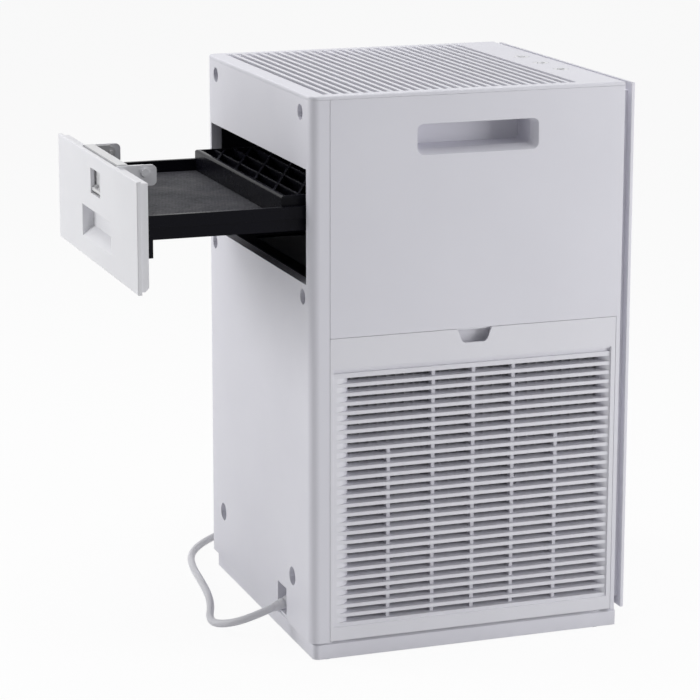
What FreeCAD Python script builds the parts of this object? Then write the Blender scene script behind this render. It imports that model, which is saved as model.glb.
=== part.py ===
"""Compact air purifier with two side inlets, a blower, a pull-out filter drawer and a top outlet.

Millimetres, +Z up.  The origin is on the floor, under the middle of the footprint.  The front
panel faces -Y, the drawer leaves through the rear face (+Y), and one inlet door is on each side.
The model stands with its drawer pulled out by DRAWER_OPEN.
"""
import FreeCAD
import Part
import math
import os
from FreeCAD import Vector

# ---------------------------------------------------------------- overall sizes
WIDTH = 270.0            # across X
DEPTH = 270.0            # across Y, front panel included
HEIGHT = 450.0           # floor to top face
WALL = 2.5               # casing wall
SEAM = 0.3               # gap between neighbouring covers
TOUCH = 0.2              # small gap under a piece that sits in a recess
RUN_CLEAR = 0.08         # radial clearance of a turning pin
SLIDE_CLEAR = 0.3        # gap beside a sliding or swinging piece
CORNER_R = 7.5           # upright rear corners
EDGE_R = 1.2             # top edge
HALF_W = WIDTH / 2
HALF_D = DEPTH / 2
INNER_X = HALF_W - WALL
INNER_REAR_Y = HALF_D - WALL

# ---------------------------------------------------------------- heights of the casing
FOOT_DROP = 1.0          # the feet stand out below the base by this
BASE_TOP = 15.6
BASE_INSET = 3.8
BASE_TOE = 2.8           # base reaches this far forward under the front panel
BASE_DECK = 3.0
BASE_CHAMFER = 3.0
TOP_PLATE = 3.0
TOP_SEAM = HEIGHT - TOP_PLATE

# ---------------------------------------------------------------- seams of the sides
REAR_WRAP = 15.6         # the rear casing reaches this far round each side
PANEL_STAND = 8.6        # the body's front face is this far behind the panel's
COLUMN_W = 3.5           # front column beside each door
REAR_SEAM_Y = HALF_D - REAR_WRAP
FRONT_FACE_Y = -HALF_D + PANEL_STAND
INNER_FRONT_Y = FRONT_FACE_Y + WALL
DOOR_FRONT_Y = FRONT_FACE_Y + COLUMN_W
DOOR_TOP = 261.5
DOOR_GAP = 1.0           # door to base

# ---------------------------------------------------------------- front panel
PANEL_T = 3.0
PANEL_BOTTOM = 17.0
PANEL_TOP = HEIGHT - 1.0
NECK_INSET = 7.0
NECK_WALL = 3.0

# ---------------------------------------------------------------- handle recess
HANDLE_Y0, HANDLE_Y1 = -53.0, 48.2
HANDLE_DROP = 25.0       # top of the recess below the top face
HANDLE_TALL = 24.3
HANDLE_Z1 = HEIGHT - HANDLE_DROP
HANDLE_Z0 = HANDLE_Z1 - HANDLE_TALL
HANDLE_R = 5.0
HANDLE_RIM = 8.0         # depth of the bevelled mouth
HANDLE_RIM_DROP = 4.0    # how much the bevel takes off the lower side
HANDLE_DEPTH = 33.0
HANDLE_WALL = 2.0

# ---------------------------------------------------------------- top outlet
SLOT_COUNT = 26
SLOT_PITCH = 8.22
SLOT_WIDTH = 5.0
SLOT_MID_Y = 16.2
SLOT_INSET = 10.0        # slot ends to the side faces
SLOT_HALF = HALF_W - SLOT_INSET
SLOT_RAMP = 4.0
SLAT_DEEP = 3.0          # how far the slats reach below the top plate
GUARD_RIB = 1.6
GUARD_PITCH = 20.0
GUARD_DEEP = 5.0

# ---------------------------------------------------------------- keys
KEY_X = (31.3, -9.4, -50.1)
KEY_Y = -108.6
KEY_R = 6.4
KEY_TRAVEL = 0.8
KEY_STEM_R = 2.5
KEY_STEM = 7.0
KEY_GAP = 0.25
PCB_T = 1.6
SWITCH_H = 3.5

# ---------------------------------------------------------------- inlet doors
GRILLE_PITCH = 7.465
GRILLE_SLOT = 4.6
GRILLE_LOW_Z = 32.8      # middle of the lowest slot
GRILLE_Y0, GRILLE_Y1 = -111.5, 100.6      # a through slot's ends
GRILLE_RAMP_EDGE = 0.5   # ramp's outer end to the edge of the field
GRILLE_FIELD_Y0, GRILLE_FIELD_Y1 = -119.0, 116.5
GRILLE_FIELD_Z0, GRILLE_FIELD_Z1 = 27.5, 237.1
GRILLE_LAST_LEAST = 10.0     # least distance from the top slot's middle to the field's top
GRILLE_ROWS = 1 + int((GRILLE_FIELD_Z1 - GRILLE_LAST_LEAST - GRILLE_LOW_Z) / GRILLE_PITCH)
GRILLE_SET_BACK = 1.2
GRILLE_DEEP = 12.0
RIB_T = 3.0
RIB_SET_BACK = 4.5
LONG_RIBS_Y = (-36.6, -2.6, 31.4)
SHORT_RIBS_Y = (-74.0, 68.8)
SHORT_RIB_TOP = 170.9    # the outer ribs end at this height
NOTCH_MID_Y = -1.0
NOTCH_TOP_HALF = 14.5
NOTCH_LOW_HALF = 10.3
NOTCH_CORNER_R = 4.5
NOTCH_DEEP = 11.4
NOTCH_POCKET = 9.0
HINGE_INSET = 8.0        # door hinge axis to the side face
HINGE_X = HALF_W - HINGE_INSET
HINGE_Z = 20.5
HINGE_PIN_R = 1.5
KNUCKLE_R = 2.5
KNUCKLE_Y = 106.0
KNUCKLE_LEN = 6.0
LUG_T = 4.0

# ---------------------------------------------------------------- filters behind the doors
PRE_T = 3.0
PRE_HALF_Y = 110.0
PRE_Z0, PRE_Z1 = 27.0, 238.0
PRE_RIB_PITCH = 7.5
PRE_RIB_T = 1.2
PRE_MESH_T = 0.5
HEPA_DEEP = 34.0
HEPA_HALF_Y = 112.0
HEPA_TOP = 250.0
HEPA_WALL = 3.0
PLEAT_PITCH = 6.5
PLEAT_T = 0.7

# ---------------------------------------------------------------- blower
FAN_Z = 150.0
FILTER_ROOM = 59.5       # side face to inlet plate: door, pre-filter and particle filter
FAN_HALF_W = HALF_W - FILTER_ROOM    # half width between the two inlet plates
PLATE_T = 2.5
INLET_R = 64.0
LIP_T = 2.0
LIP_LEN = 5.0
SCROLL_START = 75.0      # degrees, where the scroll begins at its tongue
SCROLL_R0 = 86.0
SCROLL_R1 = 114.0
SCROLL_WALL = 2.0
SCROLL_STEPS = 12
DIFFUSER_Y = -100.0
WHEEL_R = 77.0
BLADE_LEN = 14.0
BLADE_T = 1.2
BLADE_COUNT = 40
BLADE_LEAN = 25.0
WHEEL_GAP = 8.5          # wheel's end to inlet plate
WHEEL_HALF_W = FAN_HALF_W - WHEEL_GAP
WHEEL_DISC = 3.0
HUB_R = 11.0
HUB_HALF = 8.0
SHAFT_R = 4.0
MOTOR_R = 31.0
MOTOR_LEN = 44.0
ARM_T = 3.0
ARM_W = 9.0

# ---------------------------------------------------------------- drawer bay and drawer
MOUTH_INSET = 10.4       # side of the drawer's mouth to the side face
MOUTH_DROP = 57.0        # top of the mouth below the top face
MOUTH_TALL = 90.0
BAY_MOUTH_HALF = HALF_W - MOUTH_INSET
BAY_MOUTH_Z1 = HEIGHT - MOUTH_DROP
BAY_MOUTH_Z0 = BAY_MOUTH_Z1 - MOUTH_TALL
MOUTH_RIM = 6.5
MOUTH_RIM_T = 2.0
BAY_FLOOR_Z = BAY_MOUTH_Z0 - MOUTH_RIM_T
BAY_WALL = 2.0
BAY_HALF = BAY_MOUTH_HALF - BAY_WALL
BAY_TOP = BAY_MOUTH_Z1 - 2.0
BAY_BACK_Y = -107.0
BAY_DUCT_Y1 = 113.0
DRAWER_OPEN = 133.0
COVER_GAP = 1.3          # drawer cover to the mouth's sides
COVER_GAP_LOW, COVER_GAP_TOP = 0.9, 2.4
DRAWER_HALF = BAY_MOUTH_HALF - COVER_GAP
DRAWER_Z0, DRAWER_Z1 = BAY_MOUTH_Z0 + COVER_GAP_LOW, BAY_MOUTH_Z1 - COVER_GAP_TOP
DRAWER_PLATE = 3.3
DRAWER_BOX = 5.8
DRAWER_BOX_INSET = 1.5
DRAWER_BOX_WALL = 2.0
GRIP_HALF = 44.7
GRIP_RISE, GRIP_TALL = 15.6, 26.0
GRIP_Z0 = DRAWER_Z0 + GRIP_RISE
GRIP_Z1 = GRIP_Z0 + GRIP_TALL
GRIP_DEEP = 9.0
GRIP_WALL = 1.4
WINDOW_X0, WINDOW_X1 = -13.4, 16.4
WINDOW_DROP, WINDOW_TALL = 11.2, 20.4
WINDOW_Z1 = DRAWER_Z1 - WINDOW_DROP
WINDOW_Z0 = WINDOW_Z1 - WINDOW_TALL
EAR_X = 53.0
EAR_T = 2.5
EAR_LONG = 34.5          # ears reach this far behind the cover's face
EAR_Y0 = HALF_D - EAR_LONG
EAR_Z0, EAR_Z1 = DRAWER_Z1 - 15.6, DRAWER_Z1 + 0.8
EAR_R = 4.0
PIVOT_BACK, PIVOT_DROP = 25.4, 5.2
PIVOT_Y, PIVOT_Z = HALF_D - PIVOT_BACK, DRAWER_Z1 - PIVOT_DROP
PIVOT_R = 1.6
EAR_BOSS_R = 3.4
LATCH_BAR_TOP = BAY_MOUTH_Z1 - 1.0
LATCH_BAR_T = 3.0
LATCH_ARM_T = 2.5
LATCH_PLATE_T = 1.6
TAB_RISE = 2.4           # the finger tab starts this far above the window's lower edge, so it clears it
TAB_T = 2.4

TRAY_GAP = 1.6           # tray to each wall of the bay
TRAY_HALF = BAY_HALF - TRAY_GAP
TRAY_STEP = 2.0
TRAY_RISE = 41.1         # underside of the tray above the cover's lower edge
TRAY_HALF_TALL = 9.5
TRAY_Z0 = DRAWER_Z0 + TRAY_RISE
TRAY_STEP_Z, TRAY_Z1 = TRAY_Z0 + TRAY_HALF_TALL, TRAY_Z0 + 2 * TRAY_HALF_TALL
TRAY_END_GAP = 6.0       # tray to the bay's far wall
TRAY_OVERLAP = 0.3       # tray's end inside the cover's box
TRAY_Y0, TRAY_Y1 = BAY_BACK_Y + TRAY_END_GAP, HALF_D - DRAWER_PLATE - DRAWER_BOX - TRAY_OVERLAP
TRAY_WALL = 2.0
TRAY_LEG_Z = TRAY_Z0 - 14.0
TRAY_LEG_W = 7.0
TRAY_LEG_T = 4.0
RUNNER_W = 3.2
RUNNER_T = 2.8
FILTER_T = 7.5
CAGE_Y1 = 19.0
CAGE_RISE = 8.0          # cage above the tray's rim
CAGE_TOP = TRAY_Z1 + CAGE_RISE
CAGE_RAIL = 4.0
CAGE_RIB = 2.0
CAGE_ROW = 17.5
CAGE_PITCH = 50.0
CAGE_SLANT = 2.2         # a cross rib runs this many millimetres along X for each along Y
CAGE_DEEP = 12.0

# ---------------------------------------------------------------- screws, cord notch, electronics
SCREW_X_TOP, SCREW_X_MID = HALF_W - 24.5, HALF_W - 19.0
SCREW_Z_TOP, SCREW_Z_MID, SCREW_Z_LOW = HEIGHT - 14.8, BAY_MOUTH_Z0 - 10.8, 58.0
SCREWS = ((SCREW_X_TOP, SCREW_Z_TOP, 6.2), (-SCREW_X_TOP, SCREW_Z_TOP, 6.2), (SCREW_X_MID, SCREW_Z_MID, 6.2),
          (-SCREW_X_MID, SCREW_Z_MID, 6.2), (HALF_W - 36.8, SCREW_Z_LOW, 7.6), (46.4 - HALF_W, SCREW_Z_LOW, 7.6))
SCREW_TUBE_T = 1.6
SCREW_TUBE_DEEP = 14.0
SCREW_R = 2.0
SCREW_HEAD_R = 4.0
SCREW_SHANK = 7.0
NOTCH_X0, NOTCH_X1 = -73.4, -51.2
NOTCH_TOP = 42.8
NOTCH_BACK_Y = 120.0
RELIEF_X, RELIEF_Z = -62.9, 31.7
RELIEF_NECK_R = 4.8
FOOT_R = 7.0
FOOT_PEG_R = 2.5
FOOT_X = HALF_W - 13.0
FOOT_Y0, FOOT_Y1 = -HALF_D + 23.0, HALF_D - 16.0

# ---------------------------------------------------------------- mains cord
CORD_D = 6.3
CORD_R = CORD_D / 2
COIL_X, COIL_Y = 197.0, 8.0
COIL_R_IN, COIL_R_OUT = 28.0, 47.3
COIL_H = 13.0
RELIEF_TIP = (-62.6, 143.0, 24.0)
CORD_ROUTE = (
    (-62.6, 143.0, 24.0), (-62.3, 159.0, 18.4), (-53.5, 175.0, 11.4), (-34.5, 184.0, 5.8),
    (-11.0, 181.5, 3.2), (15.0, 172.0, 3.2), (46.0, 165.0, 3.2), (83.0, 160.5, 3.2),
    (120.0, 157.0, 3.2), (156.0, 149.0, 3.2), (186.0, 130.0, 3.2), (211.0, 101.0, 3.2),
    (234.0, 70.0, 3.2), (241.2, 30.0, 3.2),
)
TAIL_ROUTE = (
    (240.9, 2.0, 3.2), (236.5, -25.0, 3.2), (224.0, -50.0, 4.8), (209.0, -73.0, 7.5),
)
PLUG_LEN, PLUG_W, PLUG_H = 30.0, 22.0, 15.0
BLADE_PIN = (17.5, 6.3, 1.5)
BLADE_SPACING = 12.7

DECK_HALF = HALF_W - BASE_INSET


def box(x0, x1, y0, y1, z0, z1):
    """A block between two corners, given axis by axis."""
    return Part.makeBox(x1 - x0, y1 - y0, z1 - z0, Vector(x0, y0, z0))


def rod(radius, start, axis, length):
    """A cylinder from a start point along an axis."""
    return Part.makeCylinder(radius, length, Vector(*start), Vector(*axis))


def fuse(shapes):
    """One solid from touching or overlapping solids."""
    joined = shapes[0].multiFuse(shapes[1:]) if len(shapes) > 1 else shapes[0]
    return joined.removeSplitter()


def cut(shape, tools):
    """A shape with every tool taken away."""
    return shape.cut(tools)


def mirror_x(shape):
    """The same piece for the other side of the machine."""
    return shape.mirror(Vector(0, 0, 0), Vector(1, 0, 0))


def moved(shape, x=0.0, y=0.0, z=0.0):
    """A copy of a shape shifted by the given amounts."""
    copy = shape.copy()
    copy.translate(Vector(x, y, z))
    return copy


def round_upright(shape, radius, keep):
    """Round the upright edges whose middle passes the given test."""
    picked = []
    for edge in shape.Edges:
        ends = [v.Point for v in edge.Vertexes]
        if len(ends) == 2 and abs(ends[0].x - ends[1].x) < 1e-6 and abs(ends[0].y - ends[1].y) < 1e-6:
            if keep(edge.CenterOfMass):
                picked.append(edge)
    return shape.makeFillet(radius, picked)


def plate_x(x0, x1, outline):
    """A plate between two X planes with an outline of (y, z) points."""
    points = [Vector(x0, y, z) for y, z in outline]
    face = Part.Face(Part.makePolygon(points + points[:1]))
    return face.extrude(Vector(x1 - x0, 0, 0))


def plate_z(z0, z1, outline):
    """A plate between two Z planes with an outline of (x, y) points."""
    points = [Vector(x, y, z0) for x, y in outline]
    face = Part.Face(Part.makePolygon(points + points[:1]))
    return face.extrude(Vector(0, 0, z1 - z0))


def rounded_frame_wire(x, y0, y1, z0, z1, radius):
    """A rounded rectangle in the plane of one X value."""
    block = box(x, x + 1.0, y0, y1, z0, z1)
    edges = [e for e in block.Edges if abs(e.BoundBox.XLength - 1.0) < 1e-6]
    block = block.makeFillet(radius, edges)
    face = min(block.Faces, key=lambda f: f.CenterOfMass.x)
    return face.OuterWire


# ---------------------------------------------------------------- base and casing
def make_base():
    """Floor tray: a deck with a skirt below it, foot bosses, hinge lugs and filter rails."""
    y0, y1 = FRONT_FACE_Y - BASE_TOE, HALF_D - BASE_INSET
    outer = box(-DECK_HALF, DECK_HALF, y0, y1, FOOT_DROP, BASE_TOP)
    outer = round_upright(outer, CORNER_R - BASE_INSET + 1.0, lambda c: c.y > 0)
    edges = []
    for edge in outer.Edges:
        b = edge.BoundBox
        if b.YLength > WIDTH / 2 and b.XLength < 1e-6 and abs(b.ZMin - BASE_TOP) < 1e-6:
            edges.append(edge)
    outer = outer.makeChamfer(BASE_CHAMFER, edges)
    hollow = box(-DECK_HALF + WALL, DECK_HALF - WALL, y0 + WALL, y1 - WALL,
                 FOOT_DROP - 1, BASE_TOP - BASE_DECK)
    hollow = round_upright(hollow, CORNER_R - BASE_INSET, lambda c: c.y > 0)
    shell = cut(outer, [hollow])
    ribs = [box(-DECK_HALF + WALL, DECK_HALF - WALL, y - WALL / 2, y + WALL / 2,
                FOOT_DROP + 2, BASE_TOP - BASE_DECK) for y in (-60.0, 0.0, 60.0)]
    bosses = [rod(FOOT_R + 1.5, (x, y, FOOT_DROP), (0, 0, 1), BASE_TOP - FOOT_DROP - 1)
              for x, y in foot_places()]
    lugs = []
    for side in (-1, 1):
        for y in (KNUCKLE_Y + SLIDE_CLEAR, -KNUCKLE_Y - SLIDE_CLEAR - LUG_T):
            x0, x1 = sorted((side * (HINGE_X - 3.0), side * (HINGE_X + 3.0)))
            lugs.append(box(x0, x1, y, y + LUG_T, BASE_TOP - 1, HINGE_Z + 3.5))
    body = fuse([shell] + ribs + bosses + lugs)
    seats = [rod(FOOT_R + TOUCH, (x, y, FOOT_DROP - 1), (0, 0, 1), 2.2) for x, y in foot_places()]
    pegs = [rod(FOOT_PEG_R, (x, y, FOOT_DROP), (0, 0, 1), 7.0) for x, y in foot_places()]
    bores = [rod(HINGE_PIN_R + RUN_CLEAR, (side * HINGE_X, -HALF_D, HINGE_Z), (0, 1, 0), DEPTH)
             for side in (-1, 1)]
    return cut(body, seats + pegs + bores)


def foot_places():
    """The four corners where a foot sits."""
    return [(sx * FOOT_X, y) for sx in (-1, 1) for y in (FOOT_Y0, FOOT_Y1)]


def make_feet():
    """Four rubber feet, each a pad with a peg."""
    pads = []
    for x, y in foot_places():
        pad = rod(FOOT_R, (x, y, 0), (0, 0, 1), FOOT_DROP + 1.2)
        peg = rod(FOOT_PEG_R, (x, y, FOOT_DROP), (0, 0, 1), 7.0)
        pads.append(fuse([pad, peg]))
    return Part.makeCompound(pads)


def make_rear_casing():
    """Rear wall that wraps round both corners, with the drawer mouth, screw tubes and cord notch."""
    outer = box(-HALF_W, HALF_W, REAR_SEAM_Y, HALF_D, BASE_TOP, TOP_SEAM)
    outer = round_upright(outer, CORNER_R, lambda c: c.y > HALF_D - 1)
    inner = box(-INNER_X, INNER_X, REAR_SEAM_Y - 1, INNER_REAR_Y, BASE_TOP - 1, TOP_SEAM + 1)
    inner = round_upright(inner, CORNER_R - WALL, lambda c: c.y > INNER_REAR_Y - 1)
    shell = cut(outer, [inner])
    rim = box(-BAY_MOUTH_HALF - MOUTH_RIM_T, BAY_MOUTH_HALF + MOUTH_RIM_T,
              INNER_REAR_Y - MOUTH_RIM + 0.2, INNER_REAR_Y + 0.1,
              BAY_MOUTH_Z0 - MOUTH_RIM_T, BAY_MOUTH_Z1 + MOUTH_RIM_T)
    mouth = box(-BAY_MOUTH_HALF, BAY_MOUTH_HALF, REAR_SEAM_Y - 5, HALF_D + 1, BAY_MOUTH_Z0, BAY_MOUTH_Z1)
    pocket_outer = box(NOTCH_X0 - 2, NOTCH_X1 + 2, NOTCH_BACK_Y - 2, INNER_REAR_Y + 0.1,
                       BASE_TOP, NOTCH_TOP + 2)
    pocket = box(NOTCH_X0, NOTCH_X1, NOTCH_BACK_Y, HALF_D + 1, BASE_TOP + 2, NOTCH_TOP)
    mouth_low = box(NOTCH_X0, NOTCH_X1, INNER_REAR_Y, HALF_D + 1, BASE_TOP - 1, BASE_TOP + 3)
    tubes, holes = [], []
    for x, z, radius in SCREWS:
        tubes.append(rod(radius + SCREW_TUBE_T, (x, HALF_D - SCREW_TUBE_DEEP - 2, z), (0, 1, 0),
                         SCREW_TUBE_DEEP + 1))
        holes.append(rod(radius, (x, HALF_D - SCREW_TUBE_DEEP, z), (0, 1, 0), SCREW_TUBE_DEEP + 1))
        holes.append(rod(SCREW_R + 0.2, (x, HALF_D - SCREW_TUBE_DEEP - 3, z), (0, 1, 0), 5))
    body = fuse([shell, rim, pocket_outer] + tubes)
    return cut(body, [mouth, pocket, mouth_low, relief_hole()] + holes)


def relief_hole():
    """The hole in the back wall of the cord pocket."""
    return rod(RELIEF_NECK_R + RUN_CLEAR, (RELIEF_X, NOTCH_BACK_Y - 3, RELIEF_Z), (0, 1, 0), 4)


def make_rear_screws():
    """Six pan-head screws at the bottom of the tubes."""
    screws = []
    for x, z, radius in SCREWS:
        seat = HALF_D - SCREW_TUBE_DEEP
        head = rod(min(SCREW_HEAD_R, radius - 1), (x, seat, z), (0, 1, 0), 2.6)
        cross = fuse([box(x - 2.4, x + 2.4, seat + 1.6, seat + 3, z - 0.5, z + 0.5),
                      box(x - 0.5, x + 0.5, seat + 1.6, seat + 3, z - 2.4, z + 2.4)])
        shank = rod(SCREW_R, (x, seat - SCREW_SHANK, z), (0, 1, 0), SCREW_SHANK + 0.5)
        screws.append(cut(fuse([head, shank]), [cross]))
    return Part.makeCompound(screws)


def make_side_panel():
    """Left side cover: the upper panel with its grip recess, and the narrow front column."""
    upper = box(-HALF_W, -INNER_X, FRONT_FACE_Y, REAR_SEAM_Y - SEAM, DOOR_TOP, TOP_SEAM)
    column = box(-HALF_W, -INNER_X, FRONT_FACE_Y, DOOR_FRONT_Y, BASE_TOP, DOOR_TOP + 1)
    ledge = box(-INNER_X - 0.1, -INNER_X + 5, INNER_FRONT_Y + TOUCH, REAR_SEAM_Y - 2,
                DOOR_TOP + 1, DOOR_TOP + 3)
    y0, y1, z0, z1 = HANDLE_Y0, HANDLE_Y1, HANDLE_Z0, HANDLE_Z1
    drop = HANDLE_RIM_DROP
    mouth = Part.makeLoft([
        rounded_frame_wire(-HALF_W - 0.01, y0, y1, z0, z1, HANDLE_R),
        rounded_frame_wire(-HALF_W + HANDLE_RIM, y0 + drop, y1 - 1, z0 + drop, z1, HANDLE_R - 1),
    ], True, True)
    pocket = box(-HALF_W + HANDLE_RIM - 0.2, -HALF_W + HANDLE_DEPTH, y0 + drop, y1 - 1, z0 + drop, z1)
    edges = [e for e in pocket.Edges if e.BoundBox.XLength > HANDLE_RIM]
    pocket = pocket.makeFillet(HANDLE_R - 1, edges)
    t = HANDLE_WALL
    cup = box(-HALF_W + 0.5, -HALF_W + HANDLE_DEPTH + t, y0 - t, y1 + t, z0 - t, z1 + t)
    return cut(fuse([upper, column, ledge, cup]), [mouth, pocket])


def make_front_frame():
    """Front wall of the body with the neck that carries the front panel."""
    wall = box(-INNER_X + TOUCH, INNER_X - TOUCH, FRONT_FACE_Y, INNER_FRONT_Y, BASE_TOP, TOP_SEAM)
    half = HALF_W - NECK_INSET
    y0 = -HALF_D + PANEL_T
    z0, z1 = PANEL_BOTTOM + NECK_INSET, PANEL_TOP - NECK_INSET
    ring = box(-half, half, y0, FRONT_FACE_Y + 0.1, z0, z1)
    hole = box(-half + NECK_WALL, half - NECK_WALL, y0 - 1, FRONT_FACE_Y, z0 + NECK_WALL, z1 - NECK_WALL)
    clips = [rod(5.0, (x, y0, z), (0, 1, 0), FRONT_FACE_Y - y0 + 0.1) for x, z in clip_places()]
    bores = [rod(3.0 + TOUCH, (x, y0 - 1, z), (0, 1, 0), 12) for x, z in clip_places()]
    return cut(fuse([wall, cut(ring, [hole])] + clips), bores)


def clip_places():
    """Where the front panel's pegs push into the front frame."""
    return [(sx * (HALF_W - 40.0), z) for sx in (-1, 1) for z in (PANEL_BOTTOM + 53.0, PANEL_TOP - 49.0)]


def make_front_panel():
    """Flat front cover with softened edges and four pegs."""
    plate = box(-HALF_W, HALF_W, -HALF_D, -HALF_D + PANEL_T, PANEL_BOTTOM, PANEL_TOP)
    front = [e for e in plate.Edges if e.BoundBox.YMax < -HALF_D + 0.1]
    plate = plate.makeFillet(1.0, front)
    pegs = [rod(3.0, (x, -HALF_D + PANEL_T - 0.1, z), (0, 1, 0), 8.0) for x, z in clip_places()]
    return fuse([plate] + pegs)


def slot_rows():
    """Middle Y of each outlet slot, rear to front."""
    first = SLOT_MID_Y + SLOT_PITCH * (SLOT_COUNT - 1) / 2
    return [first - SLOT_PITCH * i for i in range(SLOT_COUNT)]


def make_top_cover():
    """Top face with the outlet slats, key holes and posts for the control board."""
    plate = box(-HALF_W, HALF_W, FRONT_FACE_Y, HALF_D, TOP_SEAM + TOUCH / 2, HEIGHT)
    plate = round_upright(plate, CORNER_R, lambda c: c.y > 0)
    rim = [e for e in plate.Edges if e.BoundBox.ZMin > HEIGHT - 0.1]
    plate = plate.makeFillet(EDGE_R, rim)
    rows = slot_rows()
    low = TOP_SEAM - SLAT_DEEP
    y0, y1 = rows[-1] - SLOT_PITCH, rows[0] + SLOT_PITCH * 0.7
    block = box(-SLOT_HALF - 2, SLOT_HALF + 2, y0, y1, low, TOP_SEAM + 1)
    posts = [rod(3.5, (x, y, control_z() + PCB_T), (0, 0, 1), TOP_SEAM + 1 - control_z() - PCB_T)
             for x, y in post_places()]
    cutters = []
    for y in rows:
        outline = [Vector(-SLOT_HALF - 0.5, 0, HEIGHT + 0.5), Vector(SLOT_HALF + 0.5, 0, HEIGHT + 0.5),
                   Vector(SLOT_HALF - SLOT_RAMP, 0, low - 0.5), Vector(-SLOT_HALF + SLOT_RAMP, 0, low - 0.5)]
        face = Part.Face(Part.makePolygon(outline + outline[:1]))
        cutters.append(moved(face.extrude(Vector(0, SLOT_WIDTH, 0)), y=y - SLOT_WIDTH / 2))
    cutters += [rod(KEY_R + KEY_GAP, (x, KEY_Y, low), (0, 0, 1), 12) for x in KEY_X]
    return cut(fuse([plate, block] + posts), cutters)


def control_z():
    """Underside of the control board."""
    return HEIGHT - KEY_STEM - KEY_TRAVEL - SWITCH_H - PCB_T - TOUCH - 1.0


def post_places():
    """Posts that hold the control board under the top face."""
    return [(x, KEY_Y) for x in (KEY_X[0] + 22, KEY_X[2] - 22)]


def make_control_board():
    """Circuit board under the keys."""
    x0, x1 = KEY_X[2] - 28, KEY_X[0] + 28
    return box(x0, x1, KEY_Y - 12, KEY_Y + 12, control_z(), control_z() + PCB_T)


def make_key_switches():
    """One small push switch under each key."""
    z = control_z() + PCB_T
    switches = []
    for x in KEY_X:
        can = box(x - 3, x + 3, KEY_Y - 3, KEY_Y + 3, z, z + SWITCH_H - 1)
        button = rod(1.7, (x, KEY_Y, z + SWITCH_H - 1.1), (0, 0, 1), 1.1)
        switches.append(fuse([can, button]))
    return Part.makeCompound(switches)


def make_key(x):
    """Round key with a finger dimple and a stem."""
    cap = rod(KEY_R, (x, KEY_Y, HEIGHT - 3.0), (0, 0, 1), 3.0)
    dimple = Part.makeSphere(45.0, Vector(x, KEY_Y, HEIGHT + 45.0 - 0.45))
    stem = rod(KEY_STEM_R, (x, KEY_Y, HEIGHT - KEY_STEM), (0, 0, 1), KEY_STEM - 2.0)
    return cut(fuse([cap, stem]), [dimple])


def make_outlet_guard():
    """Finger guard under the slats: a frame with ribs both ways."""
    rows = slot_rows()
    y0, y1 = rows[-1] - SLOT_PITCH / 2, HALF_D - SCREW_TUBE_DEEP - 4
    z1 = TOP_SEAM - SLAT_DEEP - TOUCH / 2
    z0 = z1 - GUARD_DEEP
    half = SLOT_HALF - 1
    frame = cut(box(-half, half, y0, y1, z0, z1),
                [box(-half + 3, half - 3, y0 + 3, y1 - 3, z0 - 1, z1 + 1)])
    bars = []
    count = int((half - 3) / GUARD_PITCH)
    for i in range(-count, count + 1):
        x = i * GUARD_PITCH
        bars.append(box(x - GUARD_RIB / 2, x + GUARD_RIB / 2, y0 + 1, y1 - 1, z0, z1))
    steps = int((y1 - y0) / GUARD_PITCH)
    for j in range(1, steps + 1):
        y = y0 + j * (y1 - y0) / (steps + 1)
        bars.append(box(-half + 1, half - 1, y - GUARD_RIB / 2, y + GUARD_RIB / 2, z0, z1 - 1.5))
    return fuse([frame] + bars)


# ---------------------------------------------------------------- doors and filters, left side
def slot_cutter(z):
    """One grille slot: through in the middle, with a shallow ramp to the face and a rounded drop at both ends."""
    face_x = -HALF_W + GRILLE_SET_BACK
    back_x = face_x + GRILLE_DEEP
    ramp_y0, ramp_y1 = GRILLE_FIELD_Y0 + GRILLE_RAMP_EDGE, GRILLE_FIELD_Y1 - GRILLE_RAMP_EDGE
    shoulder_x = face_x + GRILLE_DEEP * 0.32
    z0 = z - GRILLE_SLOT / 2

    def p(x, y):
        return Vector(x, y, z0)

    def shoulder(outer, inner):
        return p(shoulder_x, outer + (inner - outer) * 0.72)

    edges = [
        Part.makeLine(p(face_x - 1, ramp_y0), p(face_x - 1, ramp_y1)),
        Part.makeLine(p(face_x - 1, ramp_y1), p(face_x, ramp_y1)),
        Part.Arc(p(face_x, ramp_y1), shoulder(ramp_y1, GRILLE_Y1), p(back_x, GRILLE_Y1)).toShape(),
        Part.makeLine(p(back_x, GRILLE_Y1), p(back_x + 1, GRILLE_Y1)),
        Part.makeLine(p(back_x + 1, GRILLE_Y1), p(back_x + 1, GRILLE_Y0)),
        Part.makeLine(p(back_x + 1, GRILLE_Y0), p(back_x, GRILLE_Y0)),
        Part.Arc(p(back_x, GRILLE_Y0), shoulder(ramp_y0, GRILLE_Y0), p(face_x, ramp_y0)).toShape(),
        Part.makeLine(p(face_x, ramp_y0), p(face_x - 1, ramp_y0)),
    ]
    return Part.Face(Part.Wire(edges)).extrude(Vector(0, 0, GRILLE_SLOT))


def notch_cutter(mid, low, top):
    """Finger notch: sloping sides and rounded lower corners."""
    notch = plate_x(-HALF_W - 1, -INNER_X + 0.5, [
        (mid - NOTCH_TOP_HALF, top + 1), (mid - NOTCH_TOP_HALF, top), (mid - NOTCH_LOW_HALF, low),
        (mid + NOTCH_LOW_HALF, low), (mid + NOTCH_TOP_HALF, top), (mid + NOTCH_TOP_HALF, top + 1)])
    return notch.makeFillet(NOTCH_CORNER_R, [e for e in notch.Edges if e.BoundBox.ZMax < low + 0.1
                                             and e.BoundBox.XLength > WALL])


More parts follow.
